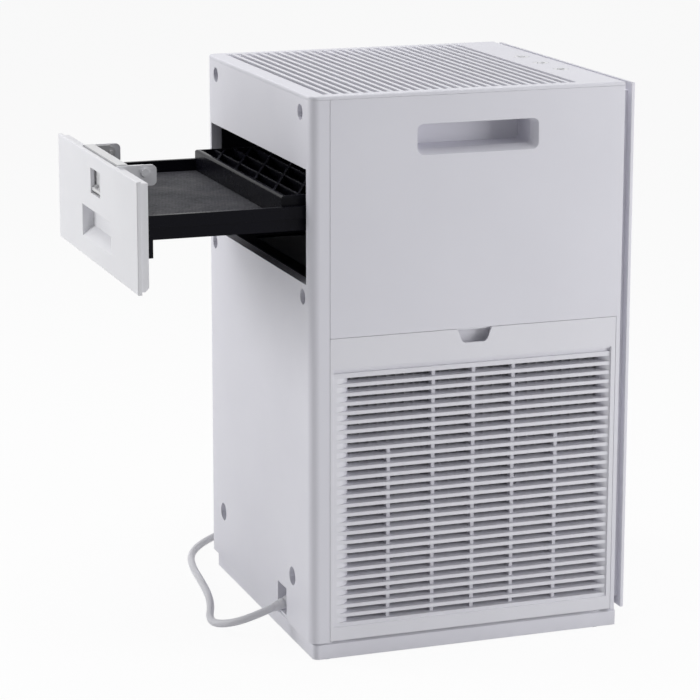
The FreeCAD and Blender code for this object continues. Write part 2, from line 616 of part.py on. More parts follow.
def make_door():
    """Left inlet door: a cover plate with a slatted grille, a finger notch and hinge knuckles."""
    z0 = BASE_TOP + DOOR_GAP
    z1 = DOOR_TOP - SEAM
    y0, y1 = DOOR_FRONT_Y + SEAM, REAR_SEAM_Y - SEAM
    plate = box(-HALF_W, -INNER_X, y0, y1, z0, z1)
    face_x = -HALF_W + GRILLE_SET_BACK
    slab = box(face_x, face_x + GRILLE_DEEP, GRILLE_FIELD_Y0, GRILLE_FIELD_Y1,
               GRILLE_FIELD_Z0, GRILLE_FIELD_Z1)
    recess = box(-HALF_W - 1, face_x, GRILLE_FIELD_Y0, GRILLE_FIELD_Y1, GRILLE_FIELD_Z0, GRILLE_FIELD_Z1)
    mid = NOTCH_MID_Y
    low = z1 - NOTCH_DEEP
    notch = notch_cutter(mid, low, z1)
    pocket_half = NOTCH_TOP_HALF + 4
    pocket = box(-INNER_X - 0.5, -HALF_W + NOTCH_POCKET + 2, mid - pocket_half, mid + pocket_half,
                 low - 6, z1)
    hollow = box(-INNER_X - 1, -HALF_W + NOTCH_POCKET, mid - pocket_half + 2, mid + pocket_half - 2,
                 low - 4, z1 - 1.5)
    stiff = box(-INNER_X - 0.5, -INNER_X + 3, y0 + 3, y1 - 3, z1 - 5, z1 - 3)
    knuckles, pins = [], []
    for sign in (-1, 1):
        ya, yb = sorted((sign * KNUCKLE_Y, sign * (KNUCKLE_Y - KNUCKLE_LEN)))
        knuckles.append(box(-INNER_X - 0.5, -HINGE_X, ya, yb, HINGE_Z - KNUCKLE_R, HINGE_Z + KNUCKLE_R))
        knuckles.append(rod(KNUCKLE_R, (-HINGE_X, ya, HINGE_Z), (0, 1, 0), yb - ya))
        start = ya if sign > 0 else yb
        pins.append(rod(HINGE_PIN_R, (-HINGE_X, start, HINGE_Z), (0, sign, 0),
                        KNUCKLE_LEN + SLIDE_CLEAR + LUG_T - 0.5))
    body = fuse([cut(plate, [recess]), slab, pocket, stiff] + knuckles + pins)
    rows = [GRILLE_LOW_Z + GRILLE_PITCH * i for i in range(GRILLE_ROWS)]
    body = cut(body, [slot_cutter(z) for z in rows] + [notch, hollow])
    blind = []
    for z in (rows[0] - GRILLE_PITCH, rows[-1] + GRILLE_PITCH):
        height = GRILLE_SLOT * 0.6
        blind.append(box(face_x - 1, face_x + 1.6, GRILLE_FIELD_Y0 + GRILLE_RAMP_EDGE,
                         GRILLE_FIELD_Y1 - GRILLE_RAMP_EDGE, z - height / 2, z + height / 2))
    body = cut(body, blind)
    x0, x1 = face_x + RIB_SET_BACK, face_x + GRILLE_DEEP - 1
    ribs = [box(x0, x1, y - RIB_T / 2, y + RIB_T / 2, GRILLE_FIELD_Z0 + 1, GRILLE_FIELD_Z1 - 1)
            for y in LONG_RIBS_Y]
    ribs += [box(x0, x1, y - RIB_T / 2, y + RIB_T / 2, GRILLE_FIELD_Z0 + 1, SHORT_RIB_TOP)
             for y in SHORT_RIBS_Y]
    return fuse([body] + ribs)


def make_prefilter():
    """Washable pre-filter clipped behind the left door: frame, upright ribs and a thin mesh."""
    x0 = -HALF_W + GRILLE_SET_BACK + GRILLE_DEEP + TOUCH
    x1 = x0 + PRE_T
    y = PRE_HALF_Y
    frame = cut(box(x0, x1, -y, y, PRE_Z0, PRE_Z1), [box(x0 - 1, x1 + 1, -y + 5, y - 5, PRE_Z0 + 5, PRE_Z1 - 5)])
    mesh = box(x1 - PRE_MESH_T, x1, -y + 4, y - 4, PRE_Z0 + 4, PRE_Z1 - 4)
    count = int((y - 6) / PRE_RIB_PITCH)
    ribs = [box(x0, x1, i * PRE_RIB_PITCH - PRE_RIB_T / 2, i * PRE_RIB_PITCH + PRE_RIB_T / 2,
                PRE_Z0 + 4, PRE_Z1 - 4) for i in range(-count, count + 1)]
    return fuse([frame, mesh] + ribs)


def hepa_x():
    """Outer and inner X of the left particle filter."""
    inner = -FAN_HALF_W - PLATE_T
    return inner - HEPA_DEEP, inner


def make_hepa_frame():
    """Board frame round the left particle filter."""
    x0, x1 = hepa_x()
    y, t = HEPA_HALF_Y, HEPA_WALL
    outer = box(x0, x1, -y, y, BASE_TOP, HEPA_TOP)
    return cut(outer, [box(x0 - 1, x1 + 1, -y + t, y - t, BASE_TOP + t, HEPA_TOP - t)])


def make_hepa_media():
    """Pleated sheet of the left particle filter."""
    x0, x1 = hepa_x()
    x0 += 2.0
    x1 -= 2.0
    y_end = HEPA_HALF_Y - HEPA_WALL
    folds = int(2 * y_end / PLEAT_PITCH)
    pitch = 2 * y_end / folds
    near, far = [], []
    for i in range(folds * 2 + 1):
        y = -y_end + i * pitch / 2
        x = x0 if i % 2 == 0 else x1 - PLEAT_T
        near.append((x, y))
        far.append((x + PLEAT_T, y))
    outline = near + far[::-1]
    return plate_z(BASE_TOP + HEPA_WALL, HEPA_TOP - HEPA_WALL, outline)


# ---------------------------------------------------------------- blower
def make_inlet_plate():
    """Left partition with the rolled inlet of the blower."""
    x0 = -FAN_HALF_W - PLATE_T
    plate = box(x0, -FAN_HALF_W, INNER_FRONT_Y + TOUCH, INNER_REAR_Y - TOUCH, BASE_TOP, BAY_FLOOR_Z)
    notch = box(x0 - 1, -FAN_HALF_W + 1, NOTCH_BACK_Y - 3, HALF_D, BASE_TOP - 1, NOTCH_TOP + 3)
    lip = rod(INLET_R + LIP_T, (-FAN_HALF_W - 0.1, 0, FAN_Z), (1, 0, 0), LIP_LEN)
    hole = rod(INLET_R, (x0 - 1, 0, FAN_Z), (1, 0, 0), 30)
    tubes = [rod(r + SCREW_TUBE_T + 1, (x, 100, z), (0, 1, 0), 40) for x, z, r in SCREWS]
    return cut(fuse([plate, lip]), [notch, hole] + tubes)


def scroll_radius(angle):
    """Radius of the scroll at an angle in degrees, growing evenly from the tongue to the outlet."""
    share = (angle - SCROLL_START) / (360.0 - SCROLL_START)
    return SCROLL_R0 + (SCROLL_R1 - SCROLL_R0) * share


def make_fan_scroll():
    """Scroll wall with a straight rear wall and a front wall that flares out to the drawer bay."""
    def curve(extra):
        points = []
        for i in range(SCROLL_STEPS + 1):
            angle = SCROLL_START + (360.0 - SCROLL_START) * i / SCROLL_STEPS
            r = scroll_radius(angle) + extra
            a = math.radians(angle)
            points.append(Vector(-FAN_HALF_W, r * math.cos(a), FAN_Z + r * math.sin(a)))
        spline = Part.BSplineCurve()
        spline.interpolate(points)
        return points, spline.toShape()

    inner_points, inner = curve(0.0)
    outer_points, outer = curve(SCROLL_WALL)
    top = BAY_FLOOR_Z

    def p(y, z):
        return Vector(-FAN_HALF_W, y, z)

    in_top, out_top = p(SCROLL_R1, top), p(SCROLL_R1 + SCROLL_WALL, top)
    tongue_in, tongue_out = inner_points[0], outer_points[0]
    flare_out, flare_in = p(DIFFUSER_Y - SCROLL_WALL, top), p(DIFFUSER_Y, top)
    edges = [
        inner,
        Part.makeLine(inner_points[-1], in_top),
        Part.makeLine(in_top, out_top),
        Part.makeLine(out_top, outer_points[-1]),
        outer,
        Part.makeLine(tongue_out, tongue_in),
    ]
    wall = Part.Face(Part.Wire(Part.__sortEdges__(edges))).extrude(Vector(2 * FAN_HALF_W, 0, 0))
    tip = p(tongue_in.y - 1.0, tongue_in.z + 0.4)
    flare = [tip, flare_in, flare_out, p(tip.y - 6.0, tip.z - 1.2 + SCROLL_WALL)]
    flare_face = Part.Face(Part.makePolygon(flare + flare[:1]))
    return fuse([wall, flare_face.extrude(Vector(2 * FAN_HALF_W, 0, 0))])


def make_impeller():
    """Double-inlet wheel: a centre disc, a ring of leaning blades and two end rings."""
    disc = rod(WHEEL_R, (-WHEEL_DISC / 2, 0, FAN_Z), (1, 0, 0), WHEEL_DISC)
    hub = rod(HUB_R, (-HUB_HALF, 0, FAN_Z), (1, 0, 0), 2 * HUB_HALF)
    rings = []
    for x in (-WHEEL_HALF_W, WHEEL_HALF_W - 2.5):
        ring = rod(WHEEL_R, (x, 0, FAN_Z), (1, 0, 0), 2.5)
        rings.append(ring.cut(rod(WHEEL_R - 4.0, (x - 1, 0, FAN_Z), (1, 0, 0), 5)))
    blade = box(-WHEEL_HALF_W, WHEEL_HALF_W, -BLADE_LEN, 0, -BLADE_T / 2, BLADE_T / 2)
    blade.rotate(Vector(0, 0, 0), Vector(1, 0, 0), BLADE_LEAN)
    blade.translate(Vector(0, WHEEL_R - 1.0, FAN_Z))
    blades = []
    for i in range(BLADE_COUNT):
        one = blade.copy()
        one.rotate(Vector(0, 0, FAN_Z), Vector(1, 0, 0), 360.0 * i / BLADE_COUNT)
        blades.append(one)
    wheel = fuse([disc, hub] + rings + blades)
    return cut(wheel, [rod(SHAFT_R, (-20, 0, FAN_Z), (1, 0, 0), 40)])


def motor_x():
    """Outer and inner end of the motor can."""
    x0 = -FAN_HALF_W - PLATE_T + ARM_T
    return x0, x0 + MOTOR_LEN


def make_motor():
    """Motor can with a stepped nose and a bearing bore right through."""
    x0, x1 = motor_x()
    can = rod(MOTOR_R, (x0, 0, FAN_Z), (1, 0, 0), MOTOR_LEN)
    can = can.makeFillet(3.0, [e for e in can.Edges if e.BoundBox.XMin > x1 - 0.1])
    nose = rod(11.0, (x1 - 0.1, 0, FAN_Z), (1, 0, 0), 6.0)
    return cut(fuse([can, nose]), [rod(SHAFT_R + RUN_CLEAR, (x0 - 1, 0, FAN_Z), (1, 0, 0), MOTOR_LEN + 10)])


def make_motor_shaft():
    """Shaft from inside the motor to the wheel's hub."""
    x0, _ = motor_x()
    return rod(SHAFT_R, (x0 + 2, 0, FAN_Z), (1, 0, 0), HUB_HALF + 2 - x0 - 2)


def arm_angles():
    """The three arms of the motor carrier, in degrees."""
    return (90.0, 210.0, 330.0)


def make_motor_bracket():
    """Three-armed carrier across the left inlet, with a plate behind the motor."""
    x0 = -FAN_HALF_W - PLATE_T
    pad = rod(MOTOR_R - 4, (x0, 0, FAN_Z), (1, 0, 0), ARM_T)
    arms = []
    for angle in arm_angles():
        arm = box(x0, x0 + ARM_T, 0, INLET_R, -ARM_W / 2, ARM_W / 2)
        arm.rotate(Vector(0, 0, 0), Vector(1, 0, 0), angle)
        arms.append(moved(arm, z=FAN_Z))
    disc = rod(INLET_R - RUN_CLEAR, (x0, 0, FAN_Z), (1, 0, 0), ARM_T)
    return fuse([pad] + arms).common(disc)


def make_motor_screws():
    """Three screws through the carrier into the motor."""
    x0 = -FAN_HALF_W - PLATE_T
    screws = []
    for angle in arm_angles():
        a = math.radians(angle + 60)
        y, z = 18 * math.cos(a), FAN_Z + 18 * math.sin(a)
        screws.append(rod(3.2, (x0 - 2, y, z), (1, 0, 0), 2.0))
    return Part.makeCompound(screws)


# ---------------------------------------------------------------- electronics
def make_board_tray():
    """Shallow tray on the base deck under the scroll."""
    outer = box(-62, 62, -50, 50, BASE_TOP, BASE_TOP + 10)
    return cut(outer, [box(-60, 60, -48, 48, BASE_TOP + 2, BASE_TOP + 11)])


def make_power_board():
    """Power board standing on ribs of its tray, with its tallest parts."""
    z = BASE_TOP + 2
    board = box(-58, 58, -46, 46, z, z + PCB_T)
    parts = [box(-50, -30, -35, -10, z + PCB_T - 0.1, z + 14), rod(6, (10, 20, z + PCB_T - 0.1), (0, 0, 1), 14),
             box(20, 48, -35, -15, z + PCB_T - 0.1, z + 12), rod(5, (-12, 24, z + PCB_T - 0.1), (0, 0, 1), 12)]
    return fuse([board] + parts)


# ---------------------------------------------------------------- drawer bay
def make_drawer_bay():
    """Dark liner of the drawer bay: floor with the air duct, two walls with runners, and a far wall."""
    y0, y1 = BAY_BACK_Y, INNER_REAR_Y - MOUTH_RIM
    floor = box(-INNER_X + TOUCH, INNER_X - TOUCH, INNER_FRONT_Y + TOUCH, y1, BAY_FLOOR_Z, BAY_MOUTH_Z0)
    duct = box(-FAN_HALF_W, FAN_HALF_W, DIFFUSER_Y, BAY_DUCT_Y1, BAY_FLOOR_Z - 1, BAY_MOUTH_Z0 + 1)
    pieces = [floor]
    ribs = []
    for side in (-1, 1):
        x0, x1 = sorted((side * BAY_HALF, side * (BAY_HALF + BAY_WALL)))
        pieces.append(box(x0, x1, y0 - BAY_WALL, y1, BAY_MOUTH_Z0 - 0.5, BAY_TOP))
        x0, x1 = sorted((side * (BAY_HALF - RUNNER_W), side * (BAY_HALF + 0.5)))
        low = TRAY_STEP_Z - SLIDE_CLEAR - RUNNER_T
        pieces.append(box(x0, x1, y0, y1 - 3, low, low + RUNNER_T))
        for y in (96.0, 60.0, 24.0):
            x0, x1 = sorted((side * (BAY_HALF - 1.2), side * (BAY_HALF + 0.5)))
            ribs.append(box(x0, x1, y, y + 2.0, BAY_MOUTH_Z0 + 4, low - 8))
    pieces.append(box(-BAY_HALF - BAY_WALL, BAY_HALF + BAY_WALL, y0 - BAY_WALL, y0, BAY_MOUTH_Z0 - 0.5, BAY_TOP))
    return cut(fuse(pieces + ribs), [duct])


# ---------------------------------------------------------------- drawer, drawn shut and then moved out
def pulled_out(shape):
    """Move a drawer piece from the shut place to where it stands."""
    return moved(shape, y=DRAWER_OPEN)


def make_drawer_front():
    """Drawer cover: face plate, shallow box behind it, grip cup, latch window and two ears."""
    y2 = HALF_D
    y1 = y2 - DRAWER_PLATE
    y0 = y1 - DRAWER_BOX
    plate = box(-DRAWER_HALF, DRAWER_HALF, y1, y2, DRAWER_Z0, DRAWER_Z1)
    plate = plate.makeFillet(0.8, [e for e in plate.Edges if e.BoundBox.YMin > y2 - 0.1])
    half = DRAWER_HALF - DRAWER_BOX_INSET
    z0, z1 = DRAWER_Z0 + DRAWER_BOX_INSET + 0.6, DRAWER_Z1 - DRAWER_BOX_INSET
    block = box(-half, half, y0, y1 + 0.1, z0, z1)
    low_edge = [e for e in block.Edges if e.BoundBox.YMax < y0 + 0.1 and e.BoundBox.ZMax < z0 + 0.1]
    block = block.makeChamfer(3.0, low_edge)
    t = DRAWER_BOX_WALL
    hollow = box(-half + t, half - t, y0 - 1, y1, z0 + t, z1 - t)
    cup = box(-GRIP_HALF - GRIP_WALL, GRIP_HALF + GRIP_WALL, y2 - GRIP_DEEP - GRIP_WALL, y1 + 0.1,
              GRIP_Z0 - GRIP_WALL, GRIP_Z1 + GRIP_WALL)
    slope = GRIP_DEEP * 0.9
    grip = plate_x(-GRIP_HALF, GRIP_HALF, [
        (y2 + 1, GRIP_Z0 - 1), (y2 - GRIP_DEEP, GRIP_Z0 + slope), (y2 - GRIP_DEEP, GRIP_Z1), (y2 + 1, GRIP_Z1)])
    window = box(WINDOW_X0, WINDOW_X1, y1 - 1, y2 + 1, WINDOW_Z0, WINDOW_Z1)
    ears, bores = [], []
    for side in (-1, 1):
        x0, x1 = sorted((side * EAR_X, side * (EAR_X + EAR_T)))
        ear = box(x0, x1, EAR_Y0, y1 + 0.1, EAR_Z0, EAR_Z1)
        edges = [e for e in ear.Edges if e.BoundBox.XLength > EAR_T - 0.1 and e.BoundBox.YMax < EAR_Y0 + 0.1]
        ears.append(ear.makeFillet(EAR_R, edges))
        ears.append(rod(EAR_BOSS_R, (side * (EAR_X + EAR_T - 0.1), PIVOT_Y, PIVOT_Z), (side, 0, 0), 1.6))
        bores.append(rod(PIVOT_R, (side * (EAR_X - 2), PIVOT_Y, PIVOT_Z), (side, 0, 0), 3.8))
    lever_way = box(-EAR_X + TOUCH, EAR_X - TOUCH, y0 - 1, y1, z1 - t - 1, z1 + 1)
    body = fuse([cut(fuse([plate, block]), [hollow, lever_way]), cup] + ears)
    return pulled_out(cut(body, [grip, window] + bores))


def make_drawer_latch():
    """Release lever: a bar along the top edge, two arms on the pivots, and a plate with a finger tab."""
    y1 = HALF_D - DRAWER_PLATE
    bar_half = EAR_X - 1.0
    bar = box(-bar_half, bar_half, y1 - 9.0, y1 - 1.2, LATCH_BAR_TOP - LATCH_BAR_T, LATCH_BAR_TOP)
    pieces = [bar]
    for side in (-1, 1):
        x0, x1 = sorted((side * (bar_half - LATCH_ARM_T), side * bar_half))
        pieces.append(box(x0, x1, PIVOT_Y, y1 - 4.0, PIVOT_Z - 3.5, LATCH_BAR_TOP - 1))
        pieces.append(rod(4.2, (x0, PIVOT_Y, PIVOT_Z), (1, 0, 0), LATCH_ARM_T))
    x0, x1 = WINDOW_X0 - 4, WINDOW_X1 + 4
    plate_y = y1 - 1.2
    pieces.append(box(x0, x1, plate_y - LATCH_PLATE_T, plate_y, WINDOW_Z0 - 3, LATCH_BAR_TOP - 1))
    tab_z = WINDOW_Z0 + TAB_RISE
    pieces.append(box(WINDOW_X0 + 0.6, WINDOW_X1 - 0.6, plate_y - 0.5, HALF_D - 1.0, tab_z, tab_z + TAB_T))
    for x in (WINDOW_X0 + 4, WINDOW_X0 + 8, WINDOW_X1 - 8):
        pieces.append(box(x, x + 1.2, plate_y - 0.5, HALF_D - 1.6, tab_z + TAB_T - 0.2, tab_z + TAB_T + 2.6))
    lever = fuse(pieces)
    holes = [rod(PIVOT_R + RUN_CLEAR, (-bar_half - 1, PIVOT_Y, PIVOT_Z), (1, 0, 0), 2 * bar_half + 2)]
    return pulled_out(cut(lever, holes))


def make_latch_pins():
    """Two short pins that the lever turns on, pressed into the ears."""
    pins = []
    for side in (-1, 1):
        pins.append(rod(PIVOT_R, (side * (EAR_X - 5.0), PIVOT_Y, PIVOT_Z), (side, 0, 0), 6.8))
    return pulled_out(Part.makeCompound(pins))


def make_filter_tray():
    """Black drawer tray: stepped sides that ride on the runners, an open ribbed floor and two front legs."""
    wide, narrow = TRAY_HALF, TRAY_HALF - TRAY_STEP
    t = TRAY_WALL
    upper = box(-wide, wide, TRAY_Y0, TRAY_Y1, TRAY_STEP_Z, TRAY_Z1)
    lower = box(-narrow, narrow, TRAY_Y0, TRAY_Y1, TRAY_Z0, TRAY_STEP_Z + 0.1)
    inner = box(-narrow + t, narrow - t, TRAY_Y0 + t, TRAY_Y1 - t, TRAY_Z0 - 1, TRAY_Z1 + 1)
    walls = cut(fuse([upper, lower]), [inner])
    ribs = []
    step = 2 * (narrow - t) / 10
    for i in range(1, 10):
        x = -narrow + t + i * step
        ribs.append(box(x - 1, x + 1, TRAY_Y0 + 1, TRAY_Y1 - 1, TRAY_Z0, TRAY_Z0 + 2))
    rows = 8
    for j in range(1, rows):
        y = TRAY_Y0 + j * (TRAY_Y1 - TRAY_Y0) / rows
        ribs.append(box(-narrow + 1, narrow - 1, y - 1, y + 1, TRAY_Z0, TRAY_Z0 + 2))
    ledge = cut(box(-narrow + 1, narrow - 1, TRAY_Y0 + 1, TRAY_Y1 - 1, TRAY_Z0, TRAY_Z0 + 2),
                [box(-narrow + t + 4, narrow - t - 4, TRAY_Y0 + t + 4, TRAY_Y1 - t - 4, TRAY_Z0 - 1, TRAY_Z1)])
    legs = []
    for side in (-1, 1):
        x0, x1 = sorted((side * narrow, side * (narrow - TRAY_LEG_W)))
        legs.append(box(x0, x1, TRAY_Y1 - TRAY_LEG_T, TRAY_Y1, TRAY_LEG_Z, TRAY_Z0 + 1))
    half = GRIP_HALF + GRIP_WALL + 1
    cup_back = HALF_D - GRIP_DEEP - GRIP_WALL
    relief = box(-half, half, cup_back - SLIDE_CLEAR, TRAY_Y1 + 1, TRAY_Z0 - 1, GRIP_Z1 + GRIP_WALL + 1)
    return pulled_out(cut(fuse([walls, ledge] + ribs + legs), [relief]))


def make_deodorising_filter():
    """Dark panel that lies on the tray's ribs."""
    half = TRAY_HALF - TRAY_STEP - TRAY_WALL - SLIDE_CLEAR
    z0 = TRAY_Z0 + 2.0
    panel = box(-half, half, TRAY_Y0 + TRAY_WALL + SLIDE_CLEAR, TRAY_Y1 - TRAY_WALL - SLIDE_CLEAR,
                z0, z0 + FILTER_T)
    return pulled_out(panel)


def make_ioniser_cage():
    """Slanted lattice over the far half of the tray."""
    half = TRAY_HALF - TRAY_STEP - TRAY_WALL - SLIDE_CLEAR
    z0 = TRAY_Z0 + 2.0 + FILTER_T
    y0, y1 = TRAY_Y0 + TRAY_WALL + SLIDE_CLEAR, CAGE_Y1
    outer = box(-half, half, y0, y1, z0, CAGE_TOP)
    outer = outer.makeFillet(2.0, [e for e in outer.Edges if e.BoundBox.ZMin > CAGE_TOP - 0.1])
    inner = box(-half + CAGE_RAIL, half - CAGE_RAIL, y0 + CAGE_RAIL, y1 - CAGE_RAIL, z0 - 1, CAGE_TOP + 1)
    low = CAGE_TOP - CAGE_DEEP
    ribs = []
    rows = int((y1 - y0) / CAGE_ROW)
    for j in range(1, rows + 1):
        y = y1 - j * (y1 - y0) / (rows + 1)
        ribs.append(box(-half + 1, half - 1, y - CAGE_RIB / 2, y + CAGE_RIB / 2, low, CAGE_TOP - 0.6))
    run = (y1 - y0) * CAGE_SLANT
    thick = CAGE_RIB * math.hypot(1, CAGE_SLANT)
    count = int((2 * half + run) / CAGE_PITCH) + 1
    clip = box(-half + 1, half - 1, y0 + 1, y1 - 1, low, CAGE_TOP)
    for i in range(count):
        x = half - 8.0 - i * CAGE_PITCH
        outline = [(x, y1), (x - thick, y1), (x - thick + run, y0), (x + run, y0)]
        bar = plate_z(low, CAGE_TOP - 0.6, outline).common(clip)
        if bar.Solids:
            ribs.append(bar)
    return pulled_out(fuse([cut(outer, [inner])] + ribs))


# ---------------------------------------------------------------- mains cord
def route_tube(points, radius, label):
    """A tube of straight runs joined by tangent arcs, each as large as its two runs allow."""
    p = [Vector(*q) for q in points]
    edges, start, radii, length = [], p[0], [], 0.0
    for i in range(1, len(p) - 1):
        a, b = p[i] - p[i - 1], p[i + 1] - p[i]
        half_turn = a.getAngle(b) / 2
        reach = 0.45 * min(a.Length, b.Length)
        arc_radius = reach / math.tan(half_turn)
        u, v = Vector(a).normalize(), Vector(b).normalize()
        t0, t1 = p[i] - u * reach, p[i] + v * reach
        inward = (v - u).normalize()
        to_centre = math.hypot(arc_radius, reach)
        middle = p[i] + inward * (to_centre - arc_radius)
        edges.append(Part.LineSegment(start, t0).toShape())
        edges.append(Part.Arc(t0, middle, t1).toShape())
        length += (t0 - start).Length + arc_radius * 2 * half_turn
        radii.append(round(arc_radius, 1))
        start = t1
    edges.append(Part.LineSegment(start, p[-1]).toShape())
    length += (p[-1] - start).Length
    path = Part.Wire(edges)
    first = (p[1] - p[0]).normalize()
    circle = Part.Wire([Part.Circle(p[0], first, radius).toShape()])
    tube = path.makePipeShell([circle], True, False)
    expected = math.pi * radius ** 2 * length
    print(label, "radii", radii, "length", round(length, 1), "volume share", round(tube.Volume / expected, 4))
    return tube


def make_cord():
    """The two stretches of cord that are not coiled."""
    return Part.makeCompound([route_tube(CORD_ROUTE, CORD_R, "cord"), route_tube(TAIL_ROUTE, CORD_R, "tail")])


def make_cord_coil():
    """Outer shape of the stored coil: a ring with rounded edges."""
    ring = rod(COIL_R_OUT, (COIL_X, COIL_Y, 0), (0, 0, 1), COIL_H)
    ring = ring.cut(rod(COIL_R_IN, (COIL_X, COIL_Y, -1), (0, 0, 1), COIL_H + 2))
    return ring.makeFillet(2.6, ring.Edges)


def make_cord_tie():
    """Flat strap round one side of the coil."""
    x0, x1 = COIL_X - 4, COIL_X + 4
    y0, y1 = COIL_Y - COIL_R_OUT - 1.3, COIL_Y - COIL_R_IN + 1.9
    band = box(x0, x1, y0, y1, 0.0, COIL_H + 1.3)
    return cut(band, [box(x0 - 1, x1 + 1, y0 + 1.1, y1 - 1.1, -1.0, COIL_H + 0.1)])


def make_strain_relief():
    """Tapered sleeve from the pocket's back wall to where the cord leaves it."""
    tip = Vector(*RELIEF_TIP)
    axis = (Vector(*CORD_ROUTE[1]) - tip).normalize()
    start = tip - axis * ((tip.y - NOTCH_BACK_Y) / axis.y)
    sleeve = Part.makeCone(6.0, CORD_R + 0.6, (tip - start).Length, start, axis)
    neck = rod(RELIEF_NECK_R, (RELIEF_X, NOTCH_BACK_Y - 4, RELIEF_Z), (0, 1, 0), 5.0)
    flange = rod(6.6, (RELIEF_X, NOTCH_BACK_Y - 4.6, RELIEF_Z), (0, 1, 0), 2.5)
    behind = box(RELIEF_X - 12, RELIEF_X + 12, NOTCH_BACK_Y - 10, NOTCH_BACK_Y, 10, 50)
    return fuse([sleeve.cut(behind), neck, flange])


def make_plug():
    """Moulded two-blade plug at the end of the tail."""
    a, b = Vector(*TAIL_ROUTE[-2]), Vector(*TAIL_ROUTE[-1])
    heading = math.degrees(math.atan2(b.y - a.y, b.x - a.x))
    body = box(0, PLUG_LEN, -PLUG_W / 2, PLUG_W / 2, -PLUG_H / 2, PLUG_H / 2)
    body = body.makeFillet(4.0, [e for e in body.Edges if e.BoundBox.XLength > 1])
    neck = Part.makeCone(CORD_R + 1.2, 6.0, 16.0, Vector(-15.5, 0, 0), Vector(1, 0, 0))
    length, tall, thick = BLADE_PIN
    pins = [box(PLUG_LEN - 2, PLUG_LEN + length, s * BLADE_SPACING / 2 - thick / 2,
                s * BLADE_SPACING / 2 + thick / 2, -tall / 2, tall / 2) for s in (-1, 1)]
    plug = fuse([body, neck] + pins)
    plug.translate(Vector(15.5, 0, 0))
    plug.rotate(Vector(0, 0, 0), Vector(0, 0, 1), heading)
    plug.translate(Vector(b.x, b.y, PLUG_H / 2))
    return plug


def build():
    """Every node by name."""
    door, prefilter = make_door(), make_prefilter()
    panel, plate = make_side_panel(), make_inlet_plate()
    hepa_frame, hepa_media = make_hepa_frame(), make_hepa_media()
    return {
        "base": make_base(),
        "feet": make_feet(),
        "rear_casing": make_rear_casing(),
        "rear_screws": make_rear_screws(),
        "left_side_panel": panel,
        "right_side_panel": mirror_x(panel),
        "front_frame": make_front_frame(),
        "front_panel": make_front_panel(),
        "top_cover": make_top_cover(),
        "outlet_guard": make_outlet_guard(),
        "control_board": make_control_board(),
        "key_switches": make_key_switches(),
        "power_key": make_key(KEY_X[0]),
        "mode_key": make_key(KEY_X[1]),
        "speed_key": make_key(KEY_X[2]),
        "left_door": door,
        "right_door": mirror_x(door),
        "left_prefilter": prefilter,
        "right_prefilter": mirror_x(prefilter),
        "left_hepa_frame": hepa_frame,
        "right_hepa_frame": mirror_x(hepa_frame),
        "left_hepa_media": hepa_media,
        "right_hepa_media": mirror_x(hepa_media),
        "left_inlet_plate": plate,
        "right_inlet_plate": mirror_x(plate),
        "fan_scroll": make_fan_scroll(),
        "impeller": make_impeller(),
        "motor": make_motor(),
        "motor_shaft": make_motor_shaft(),
        "motor_bracket": make_motor_bracket(),
        "motor_screws": make_motor_screws(),
        "board_tray": make_board_tray(),
        "power_board": make_power_board(),
        "drawer_bay": make_drawer_bay(),
        "drawer_front": make_drawer_front(),
        "drawer_latch": make_drawer_latch(),
        "latch_pins": make_latch_pins(),
        "filter_tray": make_filter_tray(),
        "deodorising_filter": make_deodorising_filter(),
        "ioniser_cage": make_ioniser_cage(),
        "strain_relief": make_strain_relief(),
        "cord": make_cord(),
        "cord_coil": make_cord_coil(),
        "cord_tie": make_cord_tie(),
        "plug": make_plug(),
    }


os.makedirs("parts", exist_ok=True)
for node, shape in build().items():
    shape.exportStep("parts/" + node + ".step")
    print(node, len(shape.Solids), "solids", round(shape.Volume), "mm3", "valid", shape.isValid())
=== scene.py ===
"""Looks of a compact air purifier, built around its fixed frame.

Metres, +Z up.  The front panel faces -Y, the filter drawer leaves through the rear face (+Y),
and one slatted inlet door is on each side.
"""

import logging
import math
from dataclasses import dataclass, field
from enum import Enum
from typing import Callable, Optional

import bmesh
import bpy
import numpy as np
from mathutils import Matrix, Quaternion, Vector

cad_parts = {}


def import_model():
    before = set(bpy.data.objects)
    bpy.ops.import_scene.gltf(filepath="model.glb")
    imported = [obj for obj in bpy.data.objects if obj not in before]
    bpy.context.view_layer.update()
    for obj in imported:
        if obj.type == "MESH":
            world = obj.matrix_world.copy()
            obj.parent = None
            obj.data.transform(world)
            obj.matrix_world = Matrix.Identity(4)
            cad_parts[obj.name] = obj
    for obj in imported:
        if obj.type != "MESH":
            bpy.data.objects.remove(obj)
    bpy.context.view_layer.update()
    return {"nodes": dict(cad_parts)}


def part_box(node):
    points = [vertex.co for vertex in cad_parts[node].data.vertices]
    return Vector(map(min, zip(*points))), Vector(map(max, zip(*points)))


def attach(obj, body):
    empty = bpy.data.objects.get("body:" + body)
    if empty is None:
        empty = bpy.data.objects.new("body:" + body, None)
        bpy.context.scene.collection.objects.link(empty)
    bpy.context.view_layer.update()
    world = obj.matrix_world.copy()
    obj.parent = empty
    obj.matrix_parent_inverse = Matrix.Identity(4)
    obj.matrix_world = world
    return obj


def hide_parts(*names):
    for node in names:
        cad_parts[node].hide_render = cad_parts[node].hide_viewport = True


log = logging.getLogger("air_purifier")

Array = np.ndarray
Rgb = tuple[float, float, float]
Point = tuple[float, float, float]
Socket = bpy.types.NodeSocket
MM = 0.001


